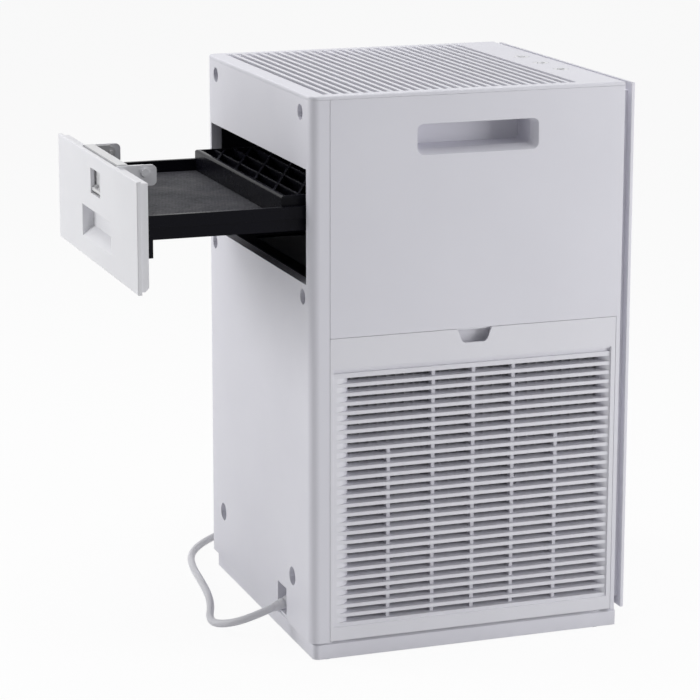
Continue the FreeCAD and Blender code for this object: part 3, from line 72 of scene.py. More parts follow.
# ------------------------------------------------------------------ surfaces worked out as grids
def mesh_object(name: str, points: Array, faces: Array, smooth: bool = True,
                closed: bool = True) -> bpy.types.Object:
    """Puts points and faces into a new mesh object that sits at the origin.

    Args:
        name: piece name.
        points: (n, 3) places in metres.
        faces: (m, k) point numbers, k corners each.
        smooth: shade the faces smoothly.
        closed: the shape has an inside, so its faces are turned outwards.

    Returns:
        The linked object.
    """
    mesh = bpy.data.meshes.new(name)
    mesh.from_pydata(points.reshape(-1, 3).tolist(), [], faces.tolist())
    if closed:
        solid = bmesh.new()
        solid.from_mesh(mesh)
        bmesh.ops.recalc_face_normals(solid, faces=solid.faces)
        solid.to_mesh(mesh)
        solid.free()
    mesh.update()
    mesh.polygons.foreach_set("use_smooth", np.full(len(mesh.polygons), smooth))
    piece = bpy.data.objects.new(name, mesh)
    bpy.context.scene.collection.objects.link(piece)
    return piece


def grid_faces(rows: int, columns: int, wrap: bool = False, start: int = 0) -> Array:
    """Quads of a rows by columns grid of points; wrap closes each row into a ring.

    Returns:
        (m, 4) point numbers; a face turns from its row's direction to the next row.
    """
    i, j = np.meshgrid(np.arange(rows - 1), np.arange(columns if wrap else columns - 1), indexing="ij")
    k = (j + 1) % columns
    quads = np.stack([i * columns + j, i * columns + k, (i + 1) * columns + k, (i + 1) * columns + j], -1)
    return quads.reshape(-1, 4) + start


def tube(rings: Array) -> tuple[Array, Array]:
    """Closes a stack of rings (n, k, 3) into a solid: quads between rings, and a fan at each end.

    Returns:
        Points and faces; the end fans are quads with a doubled middle point, as triangles.
    """
    count, around = rings.shape[:2]
    ends = np.stack([rings[0].mean(0), rings[-1].mean(0)])
    points = np.concatenate([rings.reshape(-1, 3), ends])
    side = grid_faces(count, around, wrap=True)
    j = np.arange(around)
    k = (j + 1) % around
    low = np.stack([k, j, np.full(around, count * around)], -1)
    last = (count - 1) * around
    high = np.stack([last + j, last + k, np.full(around, count * around + 1)], -1)
    triangles = np.concatenate([side[:, [0, 1, 2]], side[:, [0, 2, 3]], low, high])
    return points, triangles


def frames_along(path: Array, up: Array) -> tuple[Array, Array, Array]:
    """Forward, side and upward unit vectors at each point of a path.

    Args:
        path: (n, 3) points.
        up: a direction that is never along the path.

    Returns:
        Three (n, 3) arrays.
    """
    forward = np.gradient(path, axis=0)
    forward /= np.linalg.norm(forward, axis=1, keepdims=True)
    side = np.cross(forward, up)
    side /= np.linalg.norm(side, axis=1, keepdims=True)
    return forward, side, np.cross(side, forward)


def joined(parts: list[tuple[Array, Array]]) -> tuple[Array, Array]:
    """Several (points, faces) pairs as one."""
    offsets = np.cumsum([0] + [len(p) for p, _ in parts[:-1]])
    return (np.concatenate([p for p, _ in parts]),
            np.concatenate([f + o for (_, f), o in zip(parts, offsets)]))


# ------------------------------------------------------------------ finishes
class Pattern(Enum):
    """What a finish shows when it is looked at closely."""

    MOULDED = "fine moulded grain"
    DRAWN = "lines of drawn or turned metal"
    WEAVE = "diagonal weave over granules"
    NET = "square net"
    FLEECE = "pressed fibres"
    TRACKS = "circuit tracks"


class Graph:
    """Builds the nodes of one material."""

    def __init__(self, name: str) -> None:
        """Starts an empty node tree with a Principled shader on its output."""
        self.material = bpy.data.materials.new(name)
        self.material.use_nodes = True
        self.tree = self.material.node_tree
        self.tree.nodes.clear()
        output = self.tree.nodes.new("ShaderNodeOutputMaterial")
        self.shader = self.tree.nodes.new("ShaderNodeBsdfPrincipled")
        self.tree.links.new(self.shader.outputs["BSDF"], output.inputs["Surface"])
        self.place = self.tree.nodes.new("ShaderNodeTexCoord").outputs["Object"]

    def put(self, socket: Socket, value: Socket | float | tuple) -> None:
        """Links a socket into another, or sets its value."""
        if isinstance(value, bpy.types.NodeSocket):
            self.tree.links.new(value, socket)
        else:
            socket.default_value = value

    def math(self, operation: str, a: Socket | float, b: Socket | float = 0.0) -> Socket:
        """One Math node."""
        node = self.tree.nodes.new("ShaderNodeMath")
        node.operation = operation
        self.put(node.inputs[0], a)
        self.put(node.inputs[1], b)
        return node.outputs[0]

    def noise(self, size: float, detail: float = 2.0, stretch: Point = (1, 1, 1)) -> Socket:
        """Noise whose blobs are about size metres across, stretched along the axes."""
        mapping = self.tree.nodes.new("ShaderNodeMapping")
        self.put(mapping.inputs["Vector"], self.place)
        mapping.inputs["Scale"].default_value = stretch
        node = self.tree.nodes.new("ShaderNodeTexNoise")
        self.put(node.inputs["Vector"], mapping.outputs["Vector"])
        node.inputs["Scale"].default_value = 0.6 / size
        node.inputs["Detail"].default_value = detail
        return node.outputs["Fac"]

    def spread(self, value: Socket, low: float, high: float, start: float = 0.3, end: float = 0.7) -> Socket:
        """A value from start to end, taken to low to high."""
        node = self.tree.nodes.new("ShaderNodeMapRange")
        self.put(node.inputs["Value"], value)
        for name, number in zip(("From Min", "From Max", "To Min", "To Max"), (start, end, low, high)):
            node.inputs[name].default_value = number
        return node.outputs["Result"]

    def blend(self, share: Socket, first: Rgb, second: Rgb) -> Socket:
        """A colour between two, by share."""
        node = self.tree.nodes.new("ShaderNodeMix")
        node.data_type = "RGBA"
        self.put(node.inputs["Factor"], share)
        node.inputs[6].default_value = (*first, 1.0)
        node.inputs[7].default_value = (*second, 1.0)
        return node.outputs[2]

    def waves(self, pitch: float, turn: float, stretch: Point = (1, 1, 1)) -> tuple[Socket, Socket]:
        """Two sets of ridges (0 to 1) across each other, stretched, and turned about Z by turn degrees."""
        mapping = self.tree.nodes.new("ShaderNodeMapping")
        self.put(mapping.inputs["Vector"], self.place)
        mapping.inputs["Scale"].default_value = stretch
        mapping.inputs["Rotation"].default_value[2] = math.radians(turn)
        split = self.tree.nodes.new("ShaderNodeSeparateXYZ")
        self.put(split.inputs[0], mapping.outputs["Vector"])
        turns = 2 * math.pi / pitch
        ridges = []
        for axis in ("X", "Y"):
            wave = self.math("COSINE", self.math("MULTIPLY", split.outputs[axis], turns))
            ridges.append(self.spread(wave, 0.0, 1.0, -1.0, 1.0))
        return ridges[0], ridges[1]

    def relief(self, height: Socket, depth: float, under: Optional[Socket] = None) -> Socket:
        """A normal that reads height (0 to 1) as depth metres of relief, over an earlier normal."""
        node = self.tree.nodes.new("ShaderNodeBump")
        node.inputs["Distance"].default_value = depth
        self.put(node.inputs["Height"], height)
        if under is not None:
            self.put(node.inputs["Normal"], under)
        return node.outputs["Normal"]

    def soft_edges(self, radius: float) -> Socket:
        """A normal that rounds sharp edges over radius metres."""
        node = self.tree.nodes.new("ShaderNodeBevel")
        node.samples = 6
        node.inputs["Radius"].default_value = radius
        return node.outputs["Normal"]


@dataclass(frozen=True)
class Finish:
    """One surface finish: its colours, gloss and close detail."""

    name: str
    colour: Rgb
    drift: Rgb                      # the colour that its slow mottling goes towards
    rough: tuple[float, float] = (0.38, 0.5)
    pattern: Pattern = Pattern.MOULDED
    grain: float = 0.5 * MM         # size of the close pattern
    depth: float = 0.012 * MM       # its relief
    edge: float = 0.5 * MM          # how far edges look rounded
    metal: float = 0.0
    specular: float = 0.5
    coat: float = 0.0
    sheen: float = 0.0
    turn: float = 0.0
    lines: Point = (1.0, 1.0, 1.0)  # stretch of drawn lines along the axes

    def material(self) -> bpy.types.Material:
        """The finish as a Blender material."""
        graph = Graph(self.name)
        shader = graph.shader.inputs
        slow = graph.noise(60 * MM, 3.0)
        close, colour_share = self._close(graph, slow)
        graph.put(shader["Base Color"], graph.blend(colour_share, self.colour, self.drift))
        smudge = graph.noise(18 * MM, 4.0)
        graph.put(shader["Roughness"], graph.spread(smudge, *self.rough))
        under = graph.soft_edges(self.edge) if self.edge else None
        graph.put(shader["Normal"], graph.relief(close, self.depth, under))
        shader["Metallic"].default_value = self.metal
        shader["Specular IOR Level"].default_value = self.specular
        shader["Coat Weight"].default_value = self.coat
        shader["Coat Roughness"].default_value = 0.25
        shader["Sheen Weight"].default_value = self.sheen
        graph.material.diffuse_color = (*self.colour, 1.0)
        return graph.material

    def _close(self, graph: Graph, slow: Socket) -> tuple[Socket, Socket]:
        """Close height, and the share of the second colour, for this finish's pattern."""
        if self.pattern is Pattern.DRAWN:
            lines = graph.noise(self.grain, 3.0, self.lines)
            return lines, graph.spread(lines, 0.0, 1.0, 0.35, 0.65)
        if self.pattern in (Pattern.WEAVE, Pattern.NET):
            across, along = graph.waves(self.grain, self.turn, self.lines)
            if self.pattern is Pattern.NET:
                thread = graph.math("POWER", graph.math("MAXIMUM", across, along), 3.0)
                return thread, graph.spread(thread, 1.0, 0.0, 0.2, 0.9)
            lumps = graph.noise(2.4 * MM, 2.0)
            thread = graph.math("MULTIPLY", across, graph.spread(along, 0.8, 1.0, 0.0, 1.0))
            height = graph.math("ADD", thread, graph.spread(lumps, 0.0, 0.8))
            lit = graph.math("MULTIPLY", thread, graph.spread(lumps, 0.5, 1.0))
            return height, graph.math("SUBTRACT", 1.0, lit)
        if self.pattern is Pattern.FLEECE:
            fibres = graph.noise(self.grain, 6.0, (1.0, 1.0, 0.35))
            return fibres, graph.spread(fibres, 0.0, 1.0)
        if self.pattern is Pattern.TRACKS:
            across, along = graph.waves(self.grain, self.turn)
            track = graph.math("GREATER_THAN", graph.math("MULTIPLY", across, along), 0.35)
            return track, graph.math("MULTIPLY", track, graph.spread(slow, 0.0, 1.0, 0.4, 0.5))
        return graph.noise(self.grain, 2.0), graph.spread(slow, 0.0, 1.0)


CASING = Finish("white_casing", (0.79, 0.785, 0.845), (0.765, 0.76, 0.82), (0.40, 0.52))
DRAWER_WHITE = Finish("white_cover", (0.82, 0.82, 0.85), (0.79, 0.79, 0.82), (0.34, 0.46))
GRILLE_WHITE = Finish("white_grille", (0.81, 0.805, 0.855), (0.785, 0.78, 0.83), (0.42, 0.54), edge=0.4 * MM)
INNER_WHITE = Finish("white_inside", (0.74, 0.74, 0.76), (0.68, 0.68, 0.70), (0.5, 0.62))
LEVER_WHITE = Finish("grey_white_lever", (0.70, 0.70, 0.71), (0.65, 0.65, 0.66), (0.28, 0.4), edge=0.6 * MM)
KEY_WHITE = Finish("key_cap", (0.80, 0.80, 0.83), (0.76, 0.76, 0.79), (0.25, 0.34), edge=0.5 * MM)
BLACK = Finish("black_moulding", (0.0045, 0.0045, 0.0075), (0.006, 0.006, 0.009), (0.22, 0.32),
               grain=0.35 * MM, depth=0.008 * MM, edge=0.8 * MM, specular=0.07)
BAY_BLACK = Finish("black_bay", (0.005, 0.005, 0.008), (0.008, 0.008, 0.011), (0.3, 0.42), edge=0.8 * MM,
                   specular=0.08)
CARBON = Finish("woven_carbon_filter", (0.12, 0.12, 0.135), (0.004, 0.004, 0.006), (0.5, 0.7),
                Pattern.WEAVE, 1.9 * MM, 0.35 * MM, 0.0, turn=45.0, specular=0.12, lines=(0.28, 1.0, 1.0))
NET_GREY = Finish("prefilter_net", (0.52, 0.52, 0.54), (0.22, 0.22, 0.24), (0.45, 0.6),
                  Pattern.MOULDED, 0.5 * MM, 0.02 * MM, 0.3 * MM)
FRAME_BOARD = Finish("filter_frame_board", (0.72, 0.72, 0.70), (0.66, 0.66, 0.63), (0.6, 0.75),
                     Pattern.FLEECE, 0.8 * MM, 0.03 * MM, 0.4 * MM)
PAPER = Finish("pleated_paper", (0.84, 0.84, 0.81), (0.76, 0.76, 0.73), (0.75, 0.9),
               Pattern.FLEECE, 0.6 * MM, 0.05 * MM, 0.0, sheen=0.2, specular=0.2)
INNER_GREY = Finish("grey_duct", (0.30, 0.30, 0.31), (0.25, 0.25, 0.26), (0.45, 0.58))
FAN_BLACK = Finish("fan_moulding", (0.05, 0.05, 0.055), (0.035, 0.035, 0.04), (0.3, 0.42), edge=0.4 * MM)
RUBBER = Finish("foot_rubber", (0.022, 0.022, 0.024), (0.035, 0.035, 0.036), (0.7, 0.85),
                grain=0.7 * MM, depth=0.03 * MM, specular=0.25)
STEEL = Finish("plated_steel", (0.60, 0.60, 0.61), (0.50, 0.50, 0.51), (0.22, 0.34), Pattern.DRAWN,
               0.4 * MM, 0.006 * MM, 0.3 * MM, metal=1.0, lines=(1.0, 0.12, 1.0))
MOTOR_CAN = Finish("drawn_motor_can", (0.46, 0.46, 0.48), (0.38, 0.38, 0.40), (0.28, 0.42), Pattern.DRAWN,
                   0.5 * MM, 0.008 * MM, 0.6 * MM, metal=1.0, lines=(0.1, 1.0, 1.0))
BOARD = Finish("solder_mask", (0.018, 0.11, 0.045), (0.10, 0.26, 0.12), (0.25, 0.4), Pattern.TRACKS,
               3.2 * MM, 0.03 * MM, 0.2 * MM, coat=0.4, turn=0.0)
CORD_GREY = Finish("cord_sheath", (0.74, 0.735, 0.77), (0.70, 0.695, 0.73), (0.42, 0.56),
                   grain=0.9 * MM, depth=0.02 * MM, edge=0.0)
PLUG_GREY = Finish("plug_moulding", (0.74, 0.735, 0.77), (0.70, 0.695, 0.73), (0.45, 0.6),
                   grain=0.6 * MM, depth=0.02 * MM, edge=0.4 * MM)
TIE_WHITE = Finish("woven_tie", (0.74, 0.74, 0.74), (0.55, 0.55, 0.55), (0.7, 0.85), Pattern.FLEECE,
                   0.7 * MM, 0.06 * MM, 0.0, sheen=0.3)
MARK_GREY = Finish("printed_mark", (0.20, 0.21, 0.23), (0.26, 0.27, 0.29), (0.5, 0.6), edge=0.0)
SWITCH_BLACK = Finish("switch_case", (0.03, 0.03, 0.032), (0.05, 0.05, 0.052), (0.4, 0.5))


class Dresser:
    """Makes each material once, and gives it to pieces and frame nodes."""

    def __init__(self, nodes: dict[str, bpy.types.Object]) -> None:
        """Keeps the frame's nodes by name."""
        self.nodes = nodes
        self.made: dict[str, bpy.types.Material] = {}

    def dress(self, piece: bpy.types.Object, finish: Finish) -> bpy.types.Object:
        """Gives a piece one finish all over."""
        if finish.name not in self.made:
            self.made[finish.name] = finish.material()
        piece.data.materials.clear()
        piece.data.materials.append(self.made[finish.name])
        return piece

    def dress_nodes(self, finish: Finish, *names: str) -> None:
        """Gives frame nodes one finish."""
        for name in names:
            self.dress(self.nodes[name], finish)
        log.info("%s: %s", finish.name, ", ".join(names))


# ------------------------------------------------------------------ studio
@dataclass
class Softbox:
    """A large soft lamp that looks at a point."""

    name: str
    place: Point
    target: Point
    size: tuple[float, float]
    power: float
    colour: Rgb = (1.0, 1.0, 1.0)

    def build(self) -> None:
        """Makes the area lamp."""
        data = bpy.data.lights.new(self.name, "AREA")
        data.shape = "RECTANGLE"
        data.size, data.size_y = self.size
        data.energy = self.power
        data.color = self.colour
        lamp = bpy.data.objects.new(self.name, data)
        bpy.context.scene.collection.objects.link(lamp)
        lamp.location = self.place
        aim = Vector(self.target) - Vector(self.place)
        lamp.rotation_euler = aim.to_track_quat("-Z", "Y").to_euler()


@dataclass
class Studio:
    """Camera, lamps, world and floor."""

    eye: Point = (-2.0702, 0.7932, 0.7460)
    heading: float = -19.629        # degrees from +X towards +Y
    dip: float = 12.063             # degrees below the horizon
    roll: float = -0.079
    lens: float = 140.68
    shift: float = -0.10
    world_level: float = 0.20
    boxes: list[Softbox] = field(default_factory=lambda: [
        Softbox("overhead_box", (0.0, 0.3, 2.2), (0.0, 0.0, 0.3), (1.4, 1.4), 22.0),
        Softbox("side_box", (-0.9, -1.0, 0.45), (-0.13, -0.1, 0.25), (0.6, 0.7), 7.6),
        Softbox("rear_box", (0.85, 1.5, 0.75), (0.0, 0.2, 0.3), (0.8, 0.8), 12.0),
    ])

    def camera(self) -> None:
        """Makes the camera from its heading, dip and roll."""
        data = bpy.data.cameras.new("camera")
        data.lens, data.sensor_width = self.lens, 36.0
        data.shift_y = self.shift
        data.clip_start, data.clip_end = 0.05, 60.0
        eye = bpy.data.objects.new("camera", data)
        bpy.context.scene.collection.objects.link(eye)
        yaw, pitch = math.radians(self.heading), math.radians(self.dip)
        aim = Vector((math.cos(yaw) * math.cos(pitch), math.sin(yaw) * math.cos(pitch), -math.sin(pitch)))
        turn = Quaternion(aim, math.radians(self.roll))
        eye.location = self.eye
        eye.rotation_mode = "QUATERNION"
        eye.rotation_quaternion = turn @ aim.to_track_quat("-Z", "Y")
        bpy.context.scene.camera = eye

    def world(self) -> None:
        """White backdrop for what the camera, gloss and glass see, and a level grey light for the rest."""
        world = bpy.data.worlds.new("studio_world")
        bpy.context.scene.world = world
        world.use_nodes = True
        tree = world.node_tree
        tree.nodes.clear()
        output = tree.nodes.new("ShaderNodeOutputWorld")
        shown, lit, mix = (tree.nodes.new(kind) for kind in (
            "ShaderNodeBackground", "ShaderNodeBackground", "ShaderNodeMixShader"))
        shown.inputs["Color"].default_value = (1.0, 1.0, 1.0, 1.0)
        lit.inputs["Color"].default_value = (0.97, 0.98, 1.0, 1.0)
        lit.inputs["Strength"].default_value = self.world_level
        tree.links.new(self._seen(tree), mix.inputs[0])
        tree.links.new(lit.outputs[0], mix.inputs[1])
        tree.links.new(shown.outputs[0], mix.inputs[2])
        tree.links.new(mix.outputs[0], output.inputs["Surface"])

    @staticmethod
    def _seen(tree: bpy.types.NodeTree) -> Socket:
        """1 for camera, glossy and transmission rays, and 0 for the rest."""
        rays = tree.nodes.new("ShaderNodeLightPath")
        total = rays.outputs["Is Camera Ray"]
        for name in ("Is Glossy Ray", "Is Transmission Ray"):
            node = tree.nodes.new("ShaderNodeMath")
            node.operation = "MAXIMUM"
            tree.links.new(total, node.inputs[0])
            tree.links.new(rays.outputs[name], node.inputs[1])
            total = node.outputs[0]
        return total

    def floor(self) -> None:
        """A pale floor that keeps a light shadow: half of what is seen of it is its own white."""
        half = 6.0
        points = np.array([[-half, -half, 0], [half, -half, 0], [half, half, 0], [-half, half, 0]], float)
        floor = mesh_object("studio_floor", points, np.array([[0, 1, 2, 3]]), smooth=False, closed=False)
        material = bpy.data.materials.new("pale_floor")
        material.use_nodes = True
        tree = material.node_tree
        tree.nodes.clear()
        output = tree.nodes.new("ShaderNodeOutputMaterial")
        plain, glow, mix = (tree.nodes.new(kind) for kind in (
            "ShaderNodeBsdfDiffuse", "ShaderNodeEmission", "ShaderNodeMixShader"))
        plain.inputs["Color"].default_value = (0.93, 0.93, 0.93, 1.0)
        glow.inputs["Color"].default_value = (1.0, 1.0, 1.0, 1.0)
        share = tree.nodes.new("ShaderNodeMath")
        share.operation = "MULTIPLY"
        share.inputs[1].default_value = 0.93
        tree.links.new(self._seen(tree), share.inputs[0])
        tree.links.new(share.outputs[0], mix.inputs[0])
        tree.links.new(plain.outputs[0], mix.inputs[1])
        tree.links.new(glow.outputs[0], mix.inputs[2])
        tree.links.new(mix.outputs[0], output.inputs["Surface"])
        floor.data.materials.append(material)

    def build(self) -> None:
        """Makes the whole studio."""
        bpy.context.scene.view_settings.view_transform = "Standard"
        self.camera()
        self.world()
        self.floor()
        for box in self.boxes:
            box.build()
        log.info("studio ready")


# ------------------------------------------------------------------ mains cord
@dataclass
class MainsCord:
    """The cord, its coil of stored turns, strain relief, tie and plug."""

    diameter: float = 6.3 * MM
    length: float = 1.8
    exit: Point = (-0.0626, 0.143, 0.024)
    route: tuple[Point, ...] = (
        (-62.6, 143.0, 24.0), (-62.3, 159.0, 18.4), (-53.5, 175.0, 11.4), (-34.5, 184.0, 5.8),
        (-11.0, 181.5, 3.2), (15.0, 172.0, 3.2), (46.0, 165.0, 3.2), (83.0, 160.5, 3.2),
        (120.0, 157.0, 3.2), (156.0, 149.0, 3.2), (186.0, 130.0, 3.2), (211.0, 101.0, 3.2),
        (234.0, 70.0, 4.6),
    )
    tail: tuple[Point, ...] = ((236.5, -25.0, 3.2), (224.0, -50.0, 4.8), (209.0, -73.0, 7.5))
    coil_middle: tuple[float, float] = (197.0, 8.0)
    coil_radius: float = 44.9
    coil_pitch: float = 6.45
    coil_start: float = 22.0        # degrees round the coil where the cord comes on
    coil_end: float = -8.0          # degrees where it leaves
    coil_turns: int = 5
    points_per_turn: int = 18
    low: float = 3.2
    high: float = 9.6

    def coil(self) -> Array:
        """Control points of the stored turns.

        The upper layer's turns step inwards one lane during the last sixth of each turn, the cord
        goes down to the floor at the middle of its length, and the lower layer's turns step
        outwards in the same way, so that the radius is the outer one less a lane for each step.
        """
        sweep = self.coil_turns + (self.coil_start - self.coil_end) / 360.0
        count = int(round(sweep * self.points_per_turn)) + 1
        turn = np.linspace(0.0, sweep, count)
        from_end = np.minimum(turn, sweep - turn)
        part = np.clip((from_end % 1.0 - 5 / 6) * 6, 0.0, 1.0)
        lane = np.floor(from_end) + part * part * (3 - 2 * part)
        smooth = 0.75 + 0.25 * math.cos(2 * math.pi / self.points_per_turn)
        radius = (self.coil_radius - self.coil_pitch * lane) / smooth
        angle = np.radians(self.coil_start - 360.0 * turn)
        down = np.clip((turn - sweep / 2) / 0.26 + 0.5, 0.0, 1.0)
        height = self.high + (self.low - self.high) * down * down * (3 - 2 * down)
        return np.stack([self.coil_middle[0] + radius * np.cos(angle),
                         self.coil_middle[1] + radius * np.sin(angle), height], -1)

    def points(self) -> Array:
        """Every control point from the relief's tip to the plug, in metres."""
        return np.concatenate([np.array(self.route), self.coil(), np.array(self.tail)]) * MM

    def sheath(self, dresser: Dresser) -> bpy.types.Object:
        """The cord itself, one smooth NURBS spline."""
        data = bpy.data.curves.new("mains_cord", "CURVE")
        data.dimensions = "3D"
        data.bevel_depth = self.diameter / 2
        data.bevel_resolution = 5
        data.resolution_u = 5
        data.use_fill_caps = True
        points = self.points()
        spline = data.splines.new("NURBS")
        spline.points.add(len(points) - 1)
        spline.points.foreach_set("co", np.column_stack([points, np.ones(len(points))]).ravel())
        spline.order_u = 3
        spline.use_endpoint_u = True
        cord = bpy.data.objects.new("mains_cord", data)
        bpy.context.scene.collection.objects.link(cord)
        dresser.dress(cord, CORD_GREY)
        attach(cord, "casing")
        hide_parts("cord", "cord_coil")
        return cord

    def relief(self, dresser: Dresser) -> bpy.types.Object:
        """Strain relief: a ringed cone carried along the cord's first run, with its flange inside.

        The radius falls evenly from the wall to the tip, and five shallow grooves follow a cosine.
        """
        wall, tip = np.array([-62.86, 120.0, 31.67]), np.array([-62.6, 143.0, 24.0])
        inside = np.array([[-62.9, 115.4, 31.7], [-62.9, 117.9, 31.7], [-62.9, 118.0, 31.7], [-62.9, 119.6, 31.7]])
        along = np.linspace(0.0, 1.0, 46)
        run = wall + (tip - wall) * along[:, None]
        taper = 6.0 + (3.75 - 6.0) * along
        groove = 0.42 * np.clip(np.cos(2 * math.pi * (along * 5.5 - 0.1)), -0.2, 1.0) * (along > 0.08) * (along < 0.96)
        path = np.concatenate([inside, run])
        radius = np.concatenate([[6.6, 6.6, 4.8, 4.8], taper - np.maximum(groove, 0.0)])
        radius[-1] -= 0.5
        _, side, up = frames_along(path, np.array([0.0, 0.0, 1.0]))
        angle = np.linspace(0, 2 * math.pi, 28, endpoint=False)
        rings = (path[:, None] + radius[:, None, None] * (
            side[:, None] * np.cos(angle)[:, None] + up[:, None] * np.sin(angle)[:, None]))
        relief = mesh_object("cord_relief", *tube(rings * MM))
        dresser.dress(relief, PLUG_GREY)
        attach(relief, "casing")
        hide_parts("strain_relief")
        return relief

    def plug(self, dresser: Dresser) -> list[bpy.types.Object]:
        """Plug body with a ribbed neck and rounded shoulders, and its two blades.

        A cross section is a superellipse of power 4; its half width and half height follow a
        smooth step from the neck to the body, and fall off as a quarter circle at the face.
        """
        a, b = np.array(self.tail[-2]), np.array(self.tail[-1])
        heading = math.atan2(b[1] - a[1], b[0] - a[0])
        length, width, height = 30.0, 22.0, 15.0
        x = np.concatenate([np.linspace(-15.5, -1.0, 30), np.linspace(-0.5, 8.0, 16), np.linspace(9.0, 27.0, 10),
                            30.0 - 3.0 * (1 - np.sin(np.linspace(0.1, math.pi / 2, 8)))])
        step = np.clip((x + 1.0) / 9.0, 0.0, 1.0)
        step = step * step * (3 - 2 * step)
        end = np.sqrt(np.clip(1 - (np.clip(x - 27.0, 0.0, 3.0) / 3.0) ** 2, 0.0, 1.0))
        neck = 4.3 + 1.3 * (x + 15.5) / 15.5 - 0.5 * np.clip(np.cos(x * 2 * math.pi / 2.9), 0, 1) * (x < -1.5)
        grip = 0.45 * np.clip(np.sin(x * 2 * math.pi / 3.0), 0, 1) * (x > 10) * (x < 24)
        half_w = neck + (width / 2 - neck) * step - grip - 2.2 * (1 - end)
        half_h = neck + (height / 2 - neck) * step - 2.2 * (1 - end)
        angle = np.linspace(0, 2 * math.pi, 40, endpoint=False)
        power = 2.0 + 2.0 * step
        cos, sin = np.cos(angle), np.sin(angle)
        bow = (np.abs(cos) ** power[:, None] + np.abs(sin) ** power[:, None]) ** (-1 / power[:, None])
        rings = np.stack([np.repeat(x[:, None], 40, 1), half_w[:, None] * bow * cos, half_h[:, None] * bow * sin], -1)
        body = mesh_object("plug_body", *self._placed(tube(rings), heading))
        dresser.dress(body, PLUG_GREY)
        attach(body, "casing")
        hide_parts("plug")
        blades = mesh_object("plug_blades", *self._placed(
            joined([self._blade(length, s * 12.7 / 2) for s in (-1, 1)]), heading), smooth=False)
        dresser.dress(blades, STEEL)
        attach(blades, "casing")
        return [body, blades]

    @staticmethod
    def _blade(start: float, offset: float) -> tuple[Array, Array]:
        """One flat blade: rounded rectangles along its length, narrowed at the tip."""
        x = np.array([-2.0, 15.6, 16.8, 17.5]) + start
        tall = np.array([6.3, 6.3, 5.0, 3.4]) / 2
        thick = np.array([1.5, 1.5, 1.2, 0.7]) / 2
        corner = np.array([[1, 0.8], [0.6, 1], [-0.6, 1], [-1, 0.8], [-1, -0.8], [-0.6, -1], [0.6, -1], [1, -0.8]])
        rings = np.stack([np.repeat(x[:, None], 8, 1), offset + thick[:, None] * corner[:, 0],
                          tall[:, None] * corner[:, 1]], -1)
        return tube(rings)

    def _placed(self, shape: tuple[Array, Array], heading: float) -> tuple[Array, Array]:
        """A shape drawn along +X, turned to the heading and set beyond the cord's end."""
        points, faces = shape
        tip = np.array(self.tail[-1])
        turn = np.array(Matrix.Rotation(heading, 3, "Z"))
        ahead = turn @ np.array([15.5, 0.0, 0.0])
        return (points @ turn.T + tip + ahead) * MM, faces

    def tie(self, dresser: Dresser) -> bpy.types.Object:
        """Hook-and-loop tie round one side of the coil: a strap carried round a rounded oblong."""
        low, high = (np.array(p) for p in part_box("cord_tie"))
        middle, half = (low + high) / 2, (high - low) / 2
        angle = np.linspace(0, 2 * math.pi, 64, endpoint=False)
        cos, sin = np.cos(angle), np.sin(angle)
        bow = (np.abs(cos) ** 7 + np.abs(sin) ** 7) ** (-1 / 7)
        strap = np.array([[-1, 0.25], [-0.9, 0.0], [0.9, 0.0], [1, 0.25], [1, 0.75], [0.9, 1.0], [-0.9, 1.0], [-1, 0.75]])
        shrink = 1.0 * MM
        reach = (half[None, 1:] - shrink * strap[:, 1:])
        rings = np.stack([
            np.repeat((middle[0] + half[0] * strap[:, 0])[None], 64, 0),
            middle[1] + (bow * cos)[:, None] * reach[:, 0],
            middle[2] + (bow * sin)[:, None] * reach[:, 1]], -1)
        faces = grid_faces(65, 8, wrap=True) % (64 * 8)
        tie = mesh_object("coil_tie", rings, faces)
        dresser.dress(tie, TIE_WHITE)
        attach(tie, "casing")
        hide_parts("cord_tie")
        return tie

    def build(self, dresser: Dresser) -> None:
        """Makes the cord and every piece on it."""
        cord = self.sheath(dresser)
        pieces = [self.relief(dresser), *self.plug(dresser), self.tie(dresser)]
        log.info("mains cord: %d control points", len(self.points()))


# ------------------------------------------------------------------ sub-assemblies
@dataclass
class Casing:
    """Base, covers, outlet and their screws."""

    screws: tuple[tuple[float, float], ...] = (
        (110.5, 435.2), (-110.5, 435.2), (116.0, 292.2), (-116.0, 292.2), (98.2, 58.0), (-88.6, 58.0))
    head_radius: float = 4.0 * MM
    dome: float = 1.1 * MM

    def heads(self, dresser: Dresser) -> None:
        """Screw heads with a cross recess.

        Height over a head is a shallow dome, less a recess where either coordinate is inside the
        cross's arm; depth of the recess falls off towards the end of each arm.
        """
        low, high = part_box("rear_screws")
        around, rings = 48, 14
        angle = np.linspace(0, 2 * math.pi, around, endpoint=False)
        radius = np.concatenate([np.linspace(0.02, 1.0, rings), [1.0]]) * self.head_radius
        u, v = radius[:, None] * np.cos(angle), radius[:, None] * np.sin(angle)
        share = radius[:, None] / self.head_radius + 0 * u
        rise = self.dome * (1 - share ** 2)
        arm = np.minimum(np.abs(u), np.abs(v)) < 0.55 * MM
        rise = rise - np.where(arm & (share < 0.62), 1.5 * MM * (1 - share * 0.8), 0.0)
        rise[-1] = -1.8 * MM
        shapes = []
        for x, z in self.screws:
            face = high[1] - self.dome
            rings_at = np.stack([x * MM - u, face + rise, z * MM + v], -1)
            shapes.append(tube(rings_at[::-1]))
        heads = mesh_object("rear_screw_heads", *joined(shapes), smooth=False)
        dresser.dress(heads, STEEL)
        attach(heads, "casing")
        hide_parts("rear_screws")

    def build(self, dresser: Dresser) -> None:
        """Dresses the casing's nodes and makes the screw heads."""
        dresser.dress_nodes(CASING, "base", "rear_casing", "left_side_panel", "right_side_panel",
                            "front_frame", "front_panel", "top_cover")
        dresser.dress_nodes(INNER_WHITE, "outlet_guard")
        dresser.dress_nodes(RUBBER, "feet")
        self.heads(dresser)


